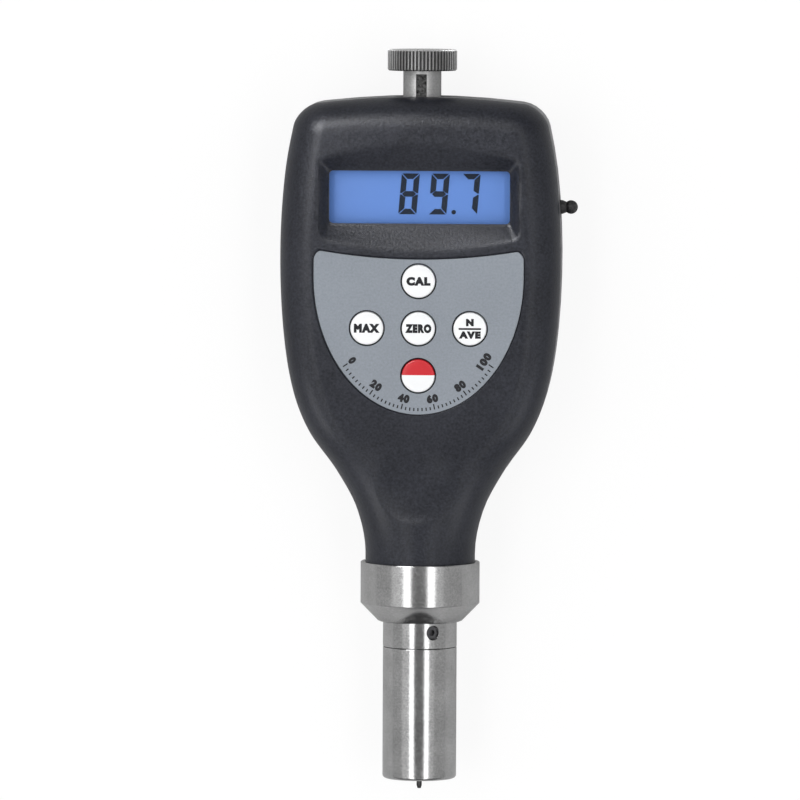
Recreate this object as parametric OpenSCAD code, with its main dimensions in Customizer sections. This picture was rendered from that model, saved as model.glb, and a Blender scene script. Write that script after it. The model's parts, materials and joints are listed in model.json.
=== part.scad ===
// Handheld digital durometer, lying on its back.
// X runs across the body, Y along the measuring axis towards the thumb knob, Z out of the display.
// The origin lies on the flat back, below the widest section of the body. Millimetres.

/* [Housing] */
// Width of the body at its widest section
body_w = 65.6; // [60:0.2:72]
// Width that the body would have at its top end, before the corners are rounded
top_w = 57.6; // [52:0.2:60]
// Widest section to the top end
body_top = 37.2; // [34:0.2:40]
// Widest section to the rim of the collar
body_bottom = 71.8; // [68:0.2:80]
// Diameter of the round neck
neck_d = 25.7; // [24.4:0.1:27]
// Height of the measuring axis and of the parting plane above the back
axis_z = 14.2; // [13.9:0.1:16]
// Height of the front face above the parting plane
front_h = 13.8; // [13.4:0.1:16]
// Wall thickness of both shells
wall = 2.2; // [1.8:0.1:2.6]
// Rounding of the top end, in plan and towards both faces
end_round = 5; // [3:0.5:6]
// Radius of the arched top edge
top_arc_r = 195; // [150:5:300]
// Length over which the round neck turns into the flat-faced body
shoulder_len = 45; // [38:1:52]
// Straight neck that the collar covers
neck_seat = 7.5; // [6:0.5:9]
// Diameter of the thumb dimple
dimple_d = 21; // [16:0.5:24]
// Depth of the thumb dimple
dimple_depth = 1.2; // [0.6:0.1:1.6]
// Thumb dimple's place below the widest section
dimple_down = 51; // [47:0.5:54]

/* [Display] */
// Width of the display opening
window_w = 42.1; // [36:0.1:43]
// Height of the display opening
window_h = 12.3; // [10:0.1:13]
// Display's centre above the widest section
window_up = 14; // [13.6:0.1:14.6]
// Depth of the display opening below the front face
bezel_depth = 2.6; // [2:0.1:3]
// Width of the sunk bezel at the front face
bezel_w = 46.6; // [44:0.1:48]
// Thickness of the clear lens
lens_t = 1; // [0.8:0.1:1.2]

/* [Keypad] */
// Width of the keypad sheet
pad_w = 49.2; // [44:0.2:50]
// Distance from the sheet's widest line to its lower tip
pad_drop = 32.2; // [30:0.2:33]
// Sheet's widest line below the body's widest section
pad_down = 4.4; // [4:0.1:5]
// Thickness of the keypad sheet
pad_t = 0.6; // [0.4:0.1:0.8]
// Diameter of a key
key_d = 7.7; // [7:0.1:8]
// Key spacing across the keypad
key_pitch_x = 12; // [10.5:0.1:12.4]
// Key spacing along the keypad
key_pitch_y = 11; // [10.5:0.1:11.4]
// Middle key below the body's widest section
key_row_down = 16.4; // [16:0.1:16.8]
// Travel of a key
key_travel = 0.4; // [0.2:0.05:0.4]

/* [Probe] */
// Diameter of the collar
collar_d = 27.9; // [27.4:0.1:28.2]
// Length of the collar's cylinder
collar_len = 9.7; // [8.5:0.1:12]
// Length of the collar's cone
cone_len = 4.3; // [3.5:0.1:5]
// Diameter of the probe
probe_d = 17.3; // [16.5:0.1:18.5]
// Collar's cone to the joint with the presser foot
probe_neck_len = 6; // [5:0.1:8]
// Length of the presser foot
foot_len = 31; // [28:0.5:36]
// Thickness of the presser foot's end
foot_end = 4; // [3:0.1:5]
// Diameter of the hole that the indenter passes through
foot_hole_d = 3; // [2.6:0.1:3.4]
// Bore of the presser foot
foot_bore_d = 13.2; // [12.6:0.1:13.6]
// Diameter of the indenter
pin_d = 1.25; // [1.1:0.05:1.4]
// Diameter of the flat on the indenter's tip
tip_d = 0.79; // [0.7:0.01:0.9]
// Included angle of the indenter's cone
tip_angle = 35; // [30:1:40]
// Indenter's travel and its reach below the presser foot
travel = 2.5; // [2:0.1:2.6]
// Diameter of the plunger's rod
rod_d = 4; // [3.6:0.1:4.4]
// Wire of the measuring spring
spring_wire_d = 1.6; // [1.2:0.1:1.7]
// Mean diameter of the measuring spring
spring_d = 9.8; // [9:0.1:10.2]
// Turns of the measuring spring
spring_turns = 5; // [4:1:6]

/* [Knob] */
// Diameter of the knurled head
knob_d = 16.2; // [14:0.1:18]
// Thickness of the knurled head
knob_t = 4.9; // [3.5:0.1:6]
// Ridges round the knurled head
knob_ridges = 60; // [40:2:72]
// Diameter of the knob's shaft
shaft_d = 8.9; // [8:0.1:10]
// Shaft that shows between the body and the head
shaft_len = 6; // [5:0.1:9]
// Width of the keyway along the shaft
keyway_w = 2.5; // [1.5:0.1:3]
// Depth of the keyway
keyway_depth = 0.6; // [0.3:0.1:0.8]

/* [Power] */
// Diameter of a cell
cell_d = 10.4; // [10:0.1:10.5]
// Length of a cell with its cap
cell_len = 44.5; // [43:0.1:45]
// Spacing of the cells
cell_pitch = 10.6; // [10.6:0.1:10.8]
// Thickness of the battery cover
cover_t = 2.2; // [1.8:0.1:2.4]

/* [Data socket] */
// Socket above the widest section
jack_up = 11.5; // [10:0.1:13]
// Bore of the socket
jack_bore_d = 3.5; // [3.3:0.1:3.6]
// Reach of the dust plug outside the body
plug_reach = 4.1; // [3.5:0.1:6]

/* [Fits] */
// Running gap of a sliding or turning piece on its radius
run_gap = 0.08; // [0.05:0.01:0.1]
// Gap round a piece that drops into its seat
seat_gap = 0.15; // [0.1:0.01:0.2]
// Gap between faces that are stacked on each other
stack_gap = 0.05; // [0.03:0.01:0.1]

/* [Hidden] */
$fn = 64;
cut = 1;

// Places along the measuring axis
neck_r = neck_d / 2;
neck_straight = 70;
neck_end = -body_bottom - neck_seat;
cone_top = -body_bottom - collar_len;
cone_end = cone_top - cone_len;
foot_joint = cone_end - probe_neck_len;
foot_face = foot_joint - foot_len;
head_base = body_top + shaft_len;

// Share of the way from neck to widest section, against share of the width gained
shoulder_curve = [[0, 0], [0.15, 0.1], [0.28, 0.34], [0.41, 0.655], [0.55, 0.845], [0.75, 0.96], [1, 1]];

// Heights through the body
front_z = axis_z + front_h;
inner_front_z = front_z - wall;
window_z = front_z - bezel_depth;
pan_z = window_z - 1.4;
lens_z = pan_z - stack_gap - lens_t;
board_t = 1.6;
board_z = axis_z + 2.4;
board_top = board_z + board_t;

// A cubic curve through a table of points, flat at both ends
function last_before(table, t, i = 0) =
    i >= len(table) - 2 || t <= table[i + 1][0] ? i : last_before(table, t, i + 1);
function slope(table, i) =
    i <= 0 || i >= len(table) - 1 ? 0
    : (table[i + 1][1] - table[i - 1][1]) / (table[i + 1][0] - table[i - 1][0]);
function curve(table, t) =
    let (
        i = last_before(table, t),
        span = table[i + 1][0] - table[i][0],
        u = min(1, max(0, (t - table[i][0]) / span))
    )
    table[i][1] * (1 + 2 * u) * pow(1 - u, 2) + table[i + 1][1] * u * u * (3 - 2 * u)
    + span * (slope(table, i) * u * pow(1 - u, 2) - slope(table, i + 1) * u * u * (1 - u));
function smooth(t) = let (u = min(1, max(0, t))) u * u * (3 - 2 * u);

// Form of the housing: half width and rounded-rectangle sections along Y
corner_steps = 10;
flat_steps = 6;
cap_steps = 6;
least_flat = 0.6;
front_form = [front_h, 8, 9];
back_form = [axis_z, 6, 7];
function half_width(y) =
    y >= 0 ? body_w / 2 - (body_w - top_w) / 2 * pow(y / body_top, 2)
    : neck_r + (body_w / 2 - neck_r) * curve(shoulder_curve, 1 + y / neck_straight);
function neck_blend(value, y) =
    neck_r + (value - neck_r) * smooth((y + neck_straight) / shoulder_len);
function section(y, inset, form) =
    let (
        w = half_width(min(y, body_top)) - inset,
        h = neck_blend(form[0], y) - inset,
        flat = max(least_flat, w - max(neck_blend(form[1], y) - inset, least_flat)),
        rise = min(h, max(neck_blend(form[2], y) - inset, least_flat)),
        turns = [for (j = [1:corner_steps]) 90 * j / corner_steps]
    )
    concat(
        [[-w, 0]],
        [for (a = turns) [-flat - (w - flat) * cos(a), h - rise + rise * sin(a)]],
        [for (j = [1:flat_steps - 1]) [flat * (2 * j / flat_steps - 1), h]],
        [for (j = [corner_steps:-1:1]) let (a = 90 * j / corner_steps)
            [flat + (w - flat) * cos(a), h - rise + rise * sin(a)]],
        [[w, 0]]
    );
function arch(x, y) = x * x / (2 * top_arc_r) * smooth((y - body_top / 2) / (body_top / 2));

// Stations from the neck to the top end: place, inset and share of the height that is left
station_step = 2.5;
station_split = 20;
station_gap = 3;
function stations(thick, from, round_r) =
    let (straight = body_top - thick - round_r)
    concat(
        from < -neck_straight ? [[from, thick, 1]] : [],
        [for (y = [max(from, -neck_straight) : station_step : -station_split]) [y, thick, 1]],
        let (low = max(from, -station_split) + station_gap)
            [for (j = [0:7]) [low + (straight - low) * j / 8, thick, 1]],
        [for (j = [0:cap_steps]) let (a = 90 * j / cap_steps)
            [straight + round_r * sin(a), thick + round_r * (1 - cos(a)), 1]],
        [[body_top - thick, thick + round_r, 0]]
    );

// One half of the housing as a closed solid on the parting plane, its face towards +Z
module half_body(form, thick = 0, from = neck_end, below = 0) {
    round_r = max(end_round - thick, 1.5);
    rings = [
        for (s = stations(thick, from, round_r))
            let (ring = section(s[0], s[1], form))
            [for (p = ring) [p[0], s[0] - arch(p[0], s[0]), p[1] == 0 ? -below : p[1] * s[2] - below * (1 - s[2])]]
    ];
    m = len(rings[0]);
    n = len(rings);
    polyhedron(
        points = [for (ring = rings) each ring],
        faces = concat(
            [[for (i = [0:m - 1]) i]],
            [for (k = [0:n - 2]) for (i = [0:m - 1]) let (j = (i + 1) % m)
                each [[k * m + i, (k + 1) * m + i, k * m + j], [k * m + j, (k + 1) * m + i, (k + 1) * m + j]]],
            [[for (i = [m - 1:-1:0]) (n - 1) * m + i]]
        )
    );
}
module front_half(thick = 0, below = 0) translate([0, 0, axis_z])
    half_body(front_form, thick, neck_end - (thick > 0 ? cut : 0), below);
module back_half(thick = 0, below = 0, from = neck_end) translate([0, 0, axis_z]) mirror([0, 0, 1])
    half_body(back_form, thick, from - (thick > 0 ? cut : 0), below);

// Helpers
module along_axis(y) translate([0, y, axis_z]) rotate([-90, 0, 0]) children();
module turned(y) along_axis(y) rotate_extrude() children();
module tube(y, length, outer_r, inner_r) turned(y) translate([inner_r, 0]) square([outer_r - inner_r, length]);
module block(x, y, z) translate([x[0], y[0], z[0]]) cube([x[1] - x[0], y[1] - y[0], z[1] - z[0]]);
module post(place, z, r) translate([place[0], place[1], z[0]]) cylinder(h = z[1] - z[0], r = r);
module rounded(w, h, r) hull() for (x = [-1, 1], y = [-1, 1])
    translate([x * (w / 2 - r), y * (h / 2 - r)]) circle(r, $fn = 24);

// A round wire along a list of points, with flat ends
function unit(v) = v / norm(v);
module wire(points, r, sides = 8, across = [0, 0, 1]) {
    n = len(points);
    rings = [
        for (i = [0:n - 1])
            let (
                ahead = unit(points[min(i + 1, n - 1)] - points[max(i - 1, 0)]),
                u = unit(cross(ahead, across)),
                v = cross(u, ahead)
            )
            each [for (k = [0:sides - 1]) points[i] + r * (u * cos(360 * k / sides) + v * sin(360 * k / sides))]
    ];
    polyhedron(
        points = rings,
        faces = concat(
            [[for (k = [0:sides - 1]) k]],
            [for (i = [0:n - 2]) for (k = [0:sides - 1]) let (j = (k + 1) % sides)
                each [
                    [i * sides + k, (i + 1) * sides + k, i * sides + j],
                    [i * sides + j, (i + 1) * sides + k, (i + 1) * sides + j]
                ]],
            [[for (k = [sides - 1:-1:0]) (n - 1) * sides + k]]
        )
    );
}
// A coil along Z whose radius runs from one value to another
function coil(r0, r1, length, turns, steps) =
    [for (i = [0:turns * steps]) let (t = i / (turns * steps), a = 360 * i / steps, r = r0 + (r1 - r0) * t)
        [r * cos(a), r * sin(a), length * t]];

// Fastener places
case_boss_r = 3.4;
case_boss_bite = 0.3;
case_screw_up = 26.3;
case_screw_down = 37;
case_screw_low_x = 17;
case_screw_x = half_width(case_screw_up) - wall - case_boss_r + case_boss_bite;
case_screws_at = [
    [case_screw_x, case_screw_up], [-case_screw_x, case_screw_up],
    [case_screw_low_x, -case_screw_down], [-case_screw_low_x, -case_screw_down]
];
case_screw_r = 1.2;
case_head_r = 2.2;
case_head_t = 2;
case_head_z = 4;
case_slot_w = 0.6;
case_slot_len = 2.6;
case_slot_depth = 0.8;
case_screw_top = axis_z + 8;
board_up = 27;
board_top_w = 2 * (case_screw_x - case_boss_r - 0.5);
board_step_up = 17.5;
board_w = 53;
board_shoulder_down = 26;
board_tail_w = 26;
board_tail_down = 33;
board_end_down = 41;
board_screw_inset = 1.7;
board_screw_low_inset = 4;
board_screws_at = [
    for (s = [1, -1]) each [
        [s * (board_top_w / 2 - board_screw_inset), board_up - 2.3],
        [s * (board_w / 2 - board_screw_low_inset), board_screw_low_inset - board_shoulder_down]
    ]
];
board_post_r = 2;
board_screw_r = 0.9;
board_head_r = 1.7;
board_head_t = 1.2;
board_screw_len = 5;

// Display
module window_outline(extra = 0) rounded(window_w + 2 * extra, window_h + 2 * extra, 1 + extra);
bezel_up = 12.3;
bezel_down = 12.4;
bezel_high_r = 80;
bezel_low_r = 95;
bezel_corner_r = 2.5;
window_ledge = 0.3;
pan_w = bezel_w + 2.4;
pan_edge = 0.6;
module bezel_outline() offset(r = bezel_corner_r) offset(delta = -bezel_corner_r) intersection() {
    translate([-bezel_w / 2, -bezel_down]) square([bezel_w, bezel_up + bezel_down]);
    translate([0, bezel_up - bezel_high_r]) circle(bezel_high_r, $fn = 240);
    translate([0, bezel_low_r - bezel_down]) circle(bezel_low_r, $fn = 240);
}
module bezel_cut() translate([0, window_up, 0]) {
    hull() {
        translate([0, 0, front_z]) linear_extrude(cut) bezel_outline();
        translate([0, 0, window_z]) linear_extrude(cut) window_outline(window_ledge);
    }
    translate([0, 0, pan_z - cut]) linear_extrude(window_z - pan_z + 1.5 * cut) window_outline();
}

// Keypad sheet: a concave top edge over half an ellipse
pad_corner_r = 2;
pad_top_up = 4.4;
pad_top_gap = 2.4;
pad_top_dip = 2.2;
pad_steps = 36;
module pad_outline(extra = 0) offset(delta = extra) offset(r = pad_corner_r) offset(delta = -pad_corner_r)
    translate([0, -pad_down]) polygon(concat(
        [for (i = [0:pad_steps]) let (a = -180 * i / pad_steps) [pad_w / 2 * cos(a), pad_drop * sin(a)]],
        [for (i = [-8:8]) [pad_w / 2 * i / 8, pad_top_up + pad_down - pad_top_gap - pad_top_dip * (1 - pow(i / 8, 2))]]
    ));
keys_at = [
    [0, -key_row_down + key_pitch_y], [-key_pitch_x, -key_row_down], [0, -key_row_down],
    [key_pitch_x, -key_row_down], [0, -key_row_down - key_pitch_y]
];
pad_pocket_z = front_z - pad_t - 0.2;
key_hole_r = key_d / 2 + seat_gap;
key_top = front_z + 0.15;
key_flange_r = key_hole_r + 0.7;
key_flange_t = 0.8;
key_stem_r = 1.6;
switch_h = 4.1;
switch_top = board_top + switch_h;
switch_gap = stack_gap;

// Battery tray
cells = 4;
tray_gap = 0.3;
tray_w = (cells - 1) * cell_pitch + cell_d + 2 * tray_gap;
contact_t = 0.4;
contact_w = 8.8;
cell_spring_len = 2.4;
tray_len = cell_len + cell_spring_len + 2 * contact_t + 6 * stack_gap;
tray_up = 26.5;
tray_low = tray_up - tray_len;
tray_wall = 1.2;
cell_z = cover_t + tray_gap + cell_d / 2;
tray_roof = cell_z + cell_d / 2 + tray_gap;
function cell_x(i) = (i - (cells - 1) / 2) * cell_pitch;
function cell_up(i) = i % 2 == 0;

// Battery cover's T-shaped runner
cover_lip = 1;
cover_low = tray_low;
module cover_runner(gap = 0) {
    half = tray_w / 2 - 0.4;
    block([-half - gap, half + gap], [cover_low - gap, body_top + cut], [-cut, cover_t / 2 + gap]);
    block(
        [-half - cover_lip - gap, half + cover_lip + gap],
        [cover_low - gap, body_top + cut],
        [cover_t / 2, cover_t + gap]
    );
}

// Insert and hole for the thumb knob
insert_r = 5.4;
insert_len = 7;
insert_end = body_top - wall - 0.2;
insert_boss_r = 8;
shank_r = 2.4;
hole_edge = 0.7;
module insert_seat() {
    along_axis(insert_end - insert_len - stack_gap)
        cylinder(h = insert_len + 2 * stack_gap, r = insert_r + seat_gap, $fn = 6);
    along_axis(insert_end) cylinder(h = wall + cut, r = shaft_d / 2 + seat_gap);
    along_axis(body_top - hole_edge) cylinder(h = cut, r1 = shaft_d / 2 + seat_gap, r2 = shaft_d / 2 + seat_gap + cut);
}
module insert_boss() along_axis(insert_end - insert_len - 1) cylinder(h = insert_len + 2, r = insert_boss_r);

// Data socket on the parting plane
jack_face = half_width(jack_up);
jack_nose_r = 2.6;
jack_w = 6.4;
jack_back = tray_w / 2 + tray_wall + 0.7;
module along_jack(x) translate([x, jack_up, axis_z]) rotate([0, 90, 0]) children();
module jack_hole() along_jack(jack_face - wall - 4) cylinder(h = wall + 8, r = jack_nose_r + seat_gap);

// Seat of the collar's hub inside the neck
hub_r = 10.3;
hub_len = 10;
rib_r = 11.6;
rib_len = 2;
rib_up = 2.6;
module neck_bore() {
    along_axis(neck_end - cut) cylinder(h = hub_len + 4 + cut, r = hub_r + seat_gap);
    along_axis(neck_end + rib_up - stack_gap) cylinder(h = rib_len + 2 * stack_gap, r = rib_r + seat_gap);
}
module above_parting() block([-body_w, body_w], [neck_end - cut, body_top + cut], [axis_z, front_z + cut]);
module below_parting() block([-body_w, body_w], [neck_end - cut, body_top + cut], [-cut, axis_z]);

// Moulded shells
module front_shell() color("#2b2c30") difference() {
    union() {
        difference() {
            front_half();
            front_half(wall, cut);
        }
        block(
            [-pan_w / 2, pan_w / 2],
            [window_up - bezel_down - pan_edge, window_up + bezel_up + pan_edge],
            [pan_z, inner_front_z + wall / 4]
        );
        for (p = case_screws_at) post(p, [axis_z, p[1] > 0 ? case_screw_top + 1.2 : inner_front_z + wall / 4], case_boss_r);
        for (p = board_screws_at) post(p, [board_top + stack_gap, inner_front_z + wall / 3], board_post_r);
        intersection() {
            insert_boss();
            above_parting();
        }
    }
    bezel_cut();
    translate([0, 0, pad_pocket_z]) linear_extrude(front_z) pad_outline();
    for (p = keys_at) post(p, [inner_front_z - cut, front_z + cut], key_hole_r);
    thumb_dimple();
    for (p = case_screws_at) post(p, [axis_z - cut, case_screw_top + 0.5], case_screw_r + stack_gap);
    for (p = board_screws_at) post(p, [board_z, board_top + board_screw_len + 0.5], board_screw_r + stack_gap);
    insert_seat();
    jack_hole();
    neck_bore();
}
module thumb_dimple() {
    sphere_r = (pow(dimple_d / 2, 2) + pow(dimple_depth, 2)) / (2 * dimple_depth);
    surface_z = axis_z + neck_blend(front_h, -dimple_down);
    translate([0, -dimple_down, surface_z + sphere_r - dimple_depth]) sphere(sphere_r, $fn = 128);
}
module rear_shell() color("#2b2c30") difference() {
    union() {
        difference() {
            back_half();
            back_half(wall, cut);
        }
        difference() {
            block(
                [-tray_w / 2 - tray_wall, tray_w / 2 + tray_wall],
                [tray_low - tray_wall, tray_up + tray_wall],
                [wall / 2, axis_z]
            );
            block([-tray_w / 2, tray_w / 2], [tray_low, tray_up], [0, tray_roof]);
        }
        for (p = case_screws_at) post(p, [wall, axis_z], case_boss_r);
        intersection() {
            insert_boss();
            below_parting();
        }
    }
    cover_runner(seat_gap);
    for (p = case_screws_at) {
        post(p, [-cut, case_head_z], case_head_r + seat_gap);
        post(p, [-cut, axis_z + cut], case_screw_r + seat_gap);
    }
    insert_seat();
    jack_hole();
    neck_bore();
}
module battery_cover() color("#2e2f33") difference() {
    intersection() {
        back_half(from = cover_low - 3);
        cover_runner();
    }
    for (i = [0:4]) translate([-9, 21 + 2 * i, 0]) rotate([0, 90, 0]) cylinder(h = 18, r = 0.6);
}
module case_screws() color("silver") for (p = case_screws_at) difference() {
    union() {
        post(p, [case_head_z - case_head_t, case_head_z - stack_gap], case_head_r);
        post(p, [case_head_z - 1, case_screw_top], case_screw_r);
    }
    for (a = [0, 90]) translate([p[0], p[1], case_head_z - case_head_t]) rotate(a)
        cube([case_slot_len, case_slot_w, 2 * case_slot_depth], center = true);
}

// Display stack on the board
lens_lap = 2.3;
lens_corner_r = 1.2;
glass_lap = 2.2;
module display_lens() color("#8fb0ff", 0.4) translate([0, window_up, lens_z])
    linear_extrude(lens_t) rounded(window_w + 2 * lens_lap, window_h + 2 * lens_lap, lens_corner_r);
glass_w = window_w + 2 * glass_lap;
glass_h = window_h + 2 * glass_lap;
glass_t = 2.4;
glass_z = lens_z - stack_gap - glass_t;
connector_w = 1.6;
connector_side = 1.5;
backlight_gap = 0.4;
backlight_side = 0.5;
backlight_h = glass_h - 2 * (connector_w + backlight_gap);
module lcd_glass() color("#7192d8") translate([0, window_up, glass_z])
    linear_extrude(glass_t) square([glass_w, glass_h], center = true);
module lcd_backlight() color("white") translate([0, window_up, board_top + stack_gap])
    linear_extrude(glass_z - board_top - 2 * stack_gap) square([glass_w - 2 * backlight_side, backlight_h], center = true);
module lcd_connectors() color("#d8d0e0") for (s = [-1, 1])
    translate([0, window_up + s * (glass_h - connector_w) / 2, board_top + stack_gap])
        linear_extrude(glass_z - board_top - 2 * stack_gap) square([glass_w - 2 * connector_side, connector_w], center = true);
module circuit_board() color("darkgreen") difference() {
    translate([0, 0, board_z]) linear_extrude(board_t) for (s = [0, 1]) mirror([s, 0]) polygon([
        [0, board_up], [board_top_w / 2, board_up], [board_top_w / 2, board_step_up], [board_w / 2, board_step_up],
        [board_w / 2, -board_shoulder_down], [board_tail_w / 2, -board_tail_down],
        [board_tail_w / 2, -board_end_down], [0, -board_end_down]
    ]);
    for (p = board_screws_at) post(p, [board_z - cut, board_top + cut], board_screw_r + stack_gap);
}
chip_t = 1.4;
main_chip_w = 9;
main_chip_h = 7;
side_chip_w = 5;
side_chip_h = 8;
side_chip_edge = 6;
module board_chips() color("#222222") {
    chip([0, 5 - board_end_down], [main_chip_w, main_chip_h, chip_t]);
    for (s = [-1, 1])
        chip([s * (board_w / 2 - side_chip_edge), -side_chip_h], [side_chip_w, side_chip_h, chip_t]);
}
module chip(place, size) translate([place[0], place[1], board_top + stack_gap + size[2] / 2]) cube(size, center = true);
module board_screws() color("silver") for (p = board_screws_at) {
    post(p, [board_z - stack_gap - board_head_t, board_z - stack_gap], board_head_r);
    post(p, [board_z - board_head_t, board_top + board_screw_len], board_screw_r);
}
switch_w = 6;
switch_t = 3.2;
switch_button_r = 1.7;
module key_switches() color("#303030") for (p = keys_at) {
    chip(p, [switch_w, switch_w, switch_t]);
    post(p, [board_top + switch_t / 2, switch_top - key_travel - switch_gap], switch_button_r);
}

// Keypad
module keypad_overlay() color("#979da4") translate([0, 0, pad_pocket_z + stack_gap]) linear_extrude(pad_t) difference() {
    pad_outline(-seat_gap);
    for (p = keys_at) translate(p) circle(key_hole_r + 0.1);
}
module key(i, tone = "#fafcfd") color(tone) translate([keys_at[i][0], keys_at[i][1], 0]) {
    rotate_extrude() polygon([
        [0, switch_top], [key_stem_r, switch_top], [key_stem_r, inner_front_z - 0.1 - key_flange_t],
        [key_flange_r, inner_front_z - 0.1 - key_flange_t], [key_flange_r, inner_front_z - 0.1],
        [key_d / 2, inner_front_z - 0.1], [key_d / 2, key_top - 0.3], [key_d / 2 - 0.35, key_top], [0, key_top]
    ]);
}
module key_cal() key(0);
module key_max() key(1);
module key_zero() key(2);
module key_average() key(3);
module key_power() key(4, "#d3434b");

// Cells with their springs and plates
cell_cap = 0.8;
cell_cap_r = 1.9;
cell_wire_r = 0.35;
cell_coil_r = 3.6;
cell_coil_end_r = 2;
module battery(i) color("#c9a13b") translate([cell_x(i), 0, cell_z]) {
    low = tray_low + contact_t + 2 * stack_gap + (cell_up(i) ? cell_spring_len + stack_gap : 0);
    translate([0, cell_up(i) ? low : low + cell_len, 0]) rotate([cell_up(i) ? -90 : 90, 0, 0]) {
        cylinder(h = cell_len - cell_cap, r = cell_d / 2);
        cylinder(h = cell_len, r = cell_cap_r);
    }
}
module battery_1() battery(0);
module battery_2() battery(1);
module battery_3() battery(2);
module battery_4() battery(3);
module battery_springs() color("silver") for (i = [0:cells - 1]) {
    end = cell_up(i) ? tray_low + contact_t + 2 * stack_gap : tray_up - contact_t - 2 * stack_gap;
    translate([cell_x(i), end, cell_z]) rotate([cell_up(i) ? -90 : 90, 0, 0]) translate([0, 0, cell_wire_r])
        wire(coil(cell_coil_r, cell_coil_end_r, cell_spring_len - 2 * cell_wire_r - stack_gap, 2, 12), cell_wire_r, 5);
}
module battery_contacts() color("silver") for (i = [0:cells - 1], y = [tray_low + stack_gap, tray_up - contact_t - stack_gap])
    translate([cell_x(i), y + contact_t / 2, cell_z]) cube([contact_w, contact_t, contact_w], center = true);

// Data socket and its dust plug
module data_jack() color("#1d1d1f") difference() {
    union() {
        block(
            [jack_back, jack_face - wall - 0.4],
            [jack_up - jack_w / 2, jack_up + jack_w / 2],
            [axis_z - 2.5, board_z - stack_gap]
        );
        along_jack(jack_face - wall - 1) cylinder(h = wall + 0.8, r = jack_nose_r);
    }
    along_jack(jack_back + 0.8) cylinder(h = jack_face, r = jack_bore_d / 2);
}
plug_r = jack_bore_d / 2 - run_gap;
plug_ball_r = 1.6;
plug_neck_r = 1.2;
module dust_plug() color("#1a1a1c") along_jack(jack_back + 1.2) {
    shank = jack_face - jack_back - 1.2;
    rotate_extrude() polygon(concat(
        [[0, 0], [plug_r - 0.4, 0], [plug_r, 0.6], [plug_r, shank - 0.2], [plug_r - 0.15, shank + 0.9],
            [plug_neck_r, shank + 1.5]],
        [for (a = [-50:20:90]) [plug_ball_r * cos(a), shank + plug_reach - plug_ball_r + plug_ball_r * sin(a)]]
    ));
}

// Thumb knob and the insert that holds it
knurl_depth = 0.45;
knob_edge = 0.5;
keyway_stop = 0.8;
module thumb_knob() color("#c8cacc") {
    intersection() {
        along_axis(head_base) linear_extrude(knob_t) polygon([
            for (i = [0:knob_ridges - 1], s = [[-0.32, -1], [-0.12, 0], [0.12, 0], [0.32, -1]])
                let (a = 360 * (i + s[0]) / knob_ridges) (knob_d / 2 + s[1] * knurl_depth) * [cos(a), sin(a)]
        ]);
        turned(head_base) polygon([
            [0, 0], [knob_d / 2 - knob_edge, 0], [knob_d / 2, knob_edge], [knob_d / 2, knob_t - knob_edge],
            [knob_d / 2 - knob_edge, knob_t], [0, knob_t]
        ]);
    }
    difference() {
        along_axis(insert_end + stack_gap) cylinder(h = head_base - insert_end, r = shaft_d / 2);
        block(
            [-keyway_w / 2, keyway_w / 2],
            [insert_end, head_base - keyway_stop],
            [axis_z + shaft_d / 2 - keyway_depth, axis_z + shaft_d]
        );
    }
    along_axis(insert_end - insert_len + 0.6) cylinder(h = insert_len, r = shank_r);
}
module thread_insert() color("goldenrod") difference() {
    along_axis(insert_end - insert_len) cylinder(h = insert_len, r = insert_r, $fn = 6);
    along_axis(insert_end - insert_len - cut) cylinder(h = insert_len + 2 * cut, r = shank_r + stack_gap);
}

// Probe
collar_r = collar_d / 2;
probe_r = probe_d / 2;
foot_bore_r = foot_bore_d / 2;
rod_r = rod_d / 2;
cone_foot_r = probe_r + 0.8;
spigot_len = 8;
sensor_bore_r = 5.2;
bush_r = 4.1;
bush_len = 5.8;
bush_end = cone_end - 4.2;
set_screw_y = foot_joint + 3.8;
set_screw_angle = 24;
set_screw_r = 1.5;
module across_probe() translate([0, set_screw_y, axis_z]) rotate([0, set_screw_angle, 0]) children();
module probe_collar() color("#a9abad") difference() {
    turned(0) polygon([
        [sensor_bore_r, neck_end + hub_len], [hub_r, neck_end + hub_len],
        [hub_r, neck_end + rib_up + rib_len], [rib_r, neck_end + rib_up + rib_len],
        [rib_r, neck_end + rib_up], [hub_r, neck_end + rib_up],
        [hub_r, neck_end - seat_gap], [neck_r + seat_gap, neck_end - seat_gap],
        [neck_r + seat_gap, -body_bottom], [collar_r - 0.3, -body_bottom], [collar_r, -body_bottom - 0.3],
        [collar_r, cone_top], [cone_foot_r + 0.5, cone_end + 0.2], [cone_foot_r, cone_end], [probe_r, cone_end],
        [probe_r, foot_joint], [foot_bore_r - stack_gap, foot_joint],
        [foot_bore_r - stack_gap, foot_joint - spigot_len], [rod_r + 0.6, foot_joint - spigot_len],
        [rod_r + 0.6, bush_end], [bush_r + stack_gap, bush_end],
        [bush_r + stack_gap, bush_end + bush_len], [sensor_bore_r, bush_end + bush_len]
    ]);
    across_probe() cylinder(h = collar_r, r = set_screw_r);
}
module set_screw() color("#444648") across_probe() difference() {
    translate([0, 0, bush_r + 2 * stack_gap]) cylinder(h = probe_r - bush_r - 1.2, r = set_screw_r - stack_gap);
    translate([0, 0, probe_r - 2.3]) cylinder(h = 2, r = 0.85, $fn = 6);
}
foot_edge_r = 0.8;
module presser_foot() color("#a9abad") turned(foot_face) polygon(concat(
    [[foot_hole_d / 2, 0]],
    [for (a = [-90:15:0]) [probe_r - foot_edge_r + foot_edge_r * cos(a), foot_edge_r + foot_edge_r * sin(a)]],
    [[probe_r, foot_len - stack_gap - 0.15], [probe_r - 0.15, foot_len - stack_gap],
        [foot_bore_r, foot_len - stack_gap], [foot_bore_r, foot_end], [foot_hole_d / 2, foot_end]]
));
module guide_bush() color("peru") tube(bush_end, bush_len - stack_gap, bush_r, rod_r + run_gap);
flange_t = 2;
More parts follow.
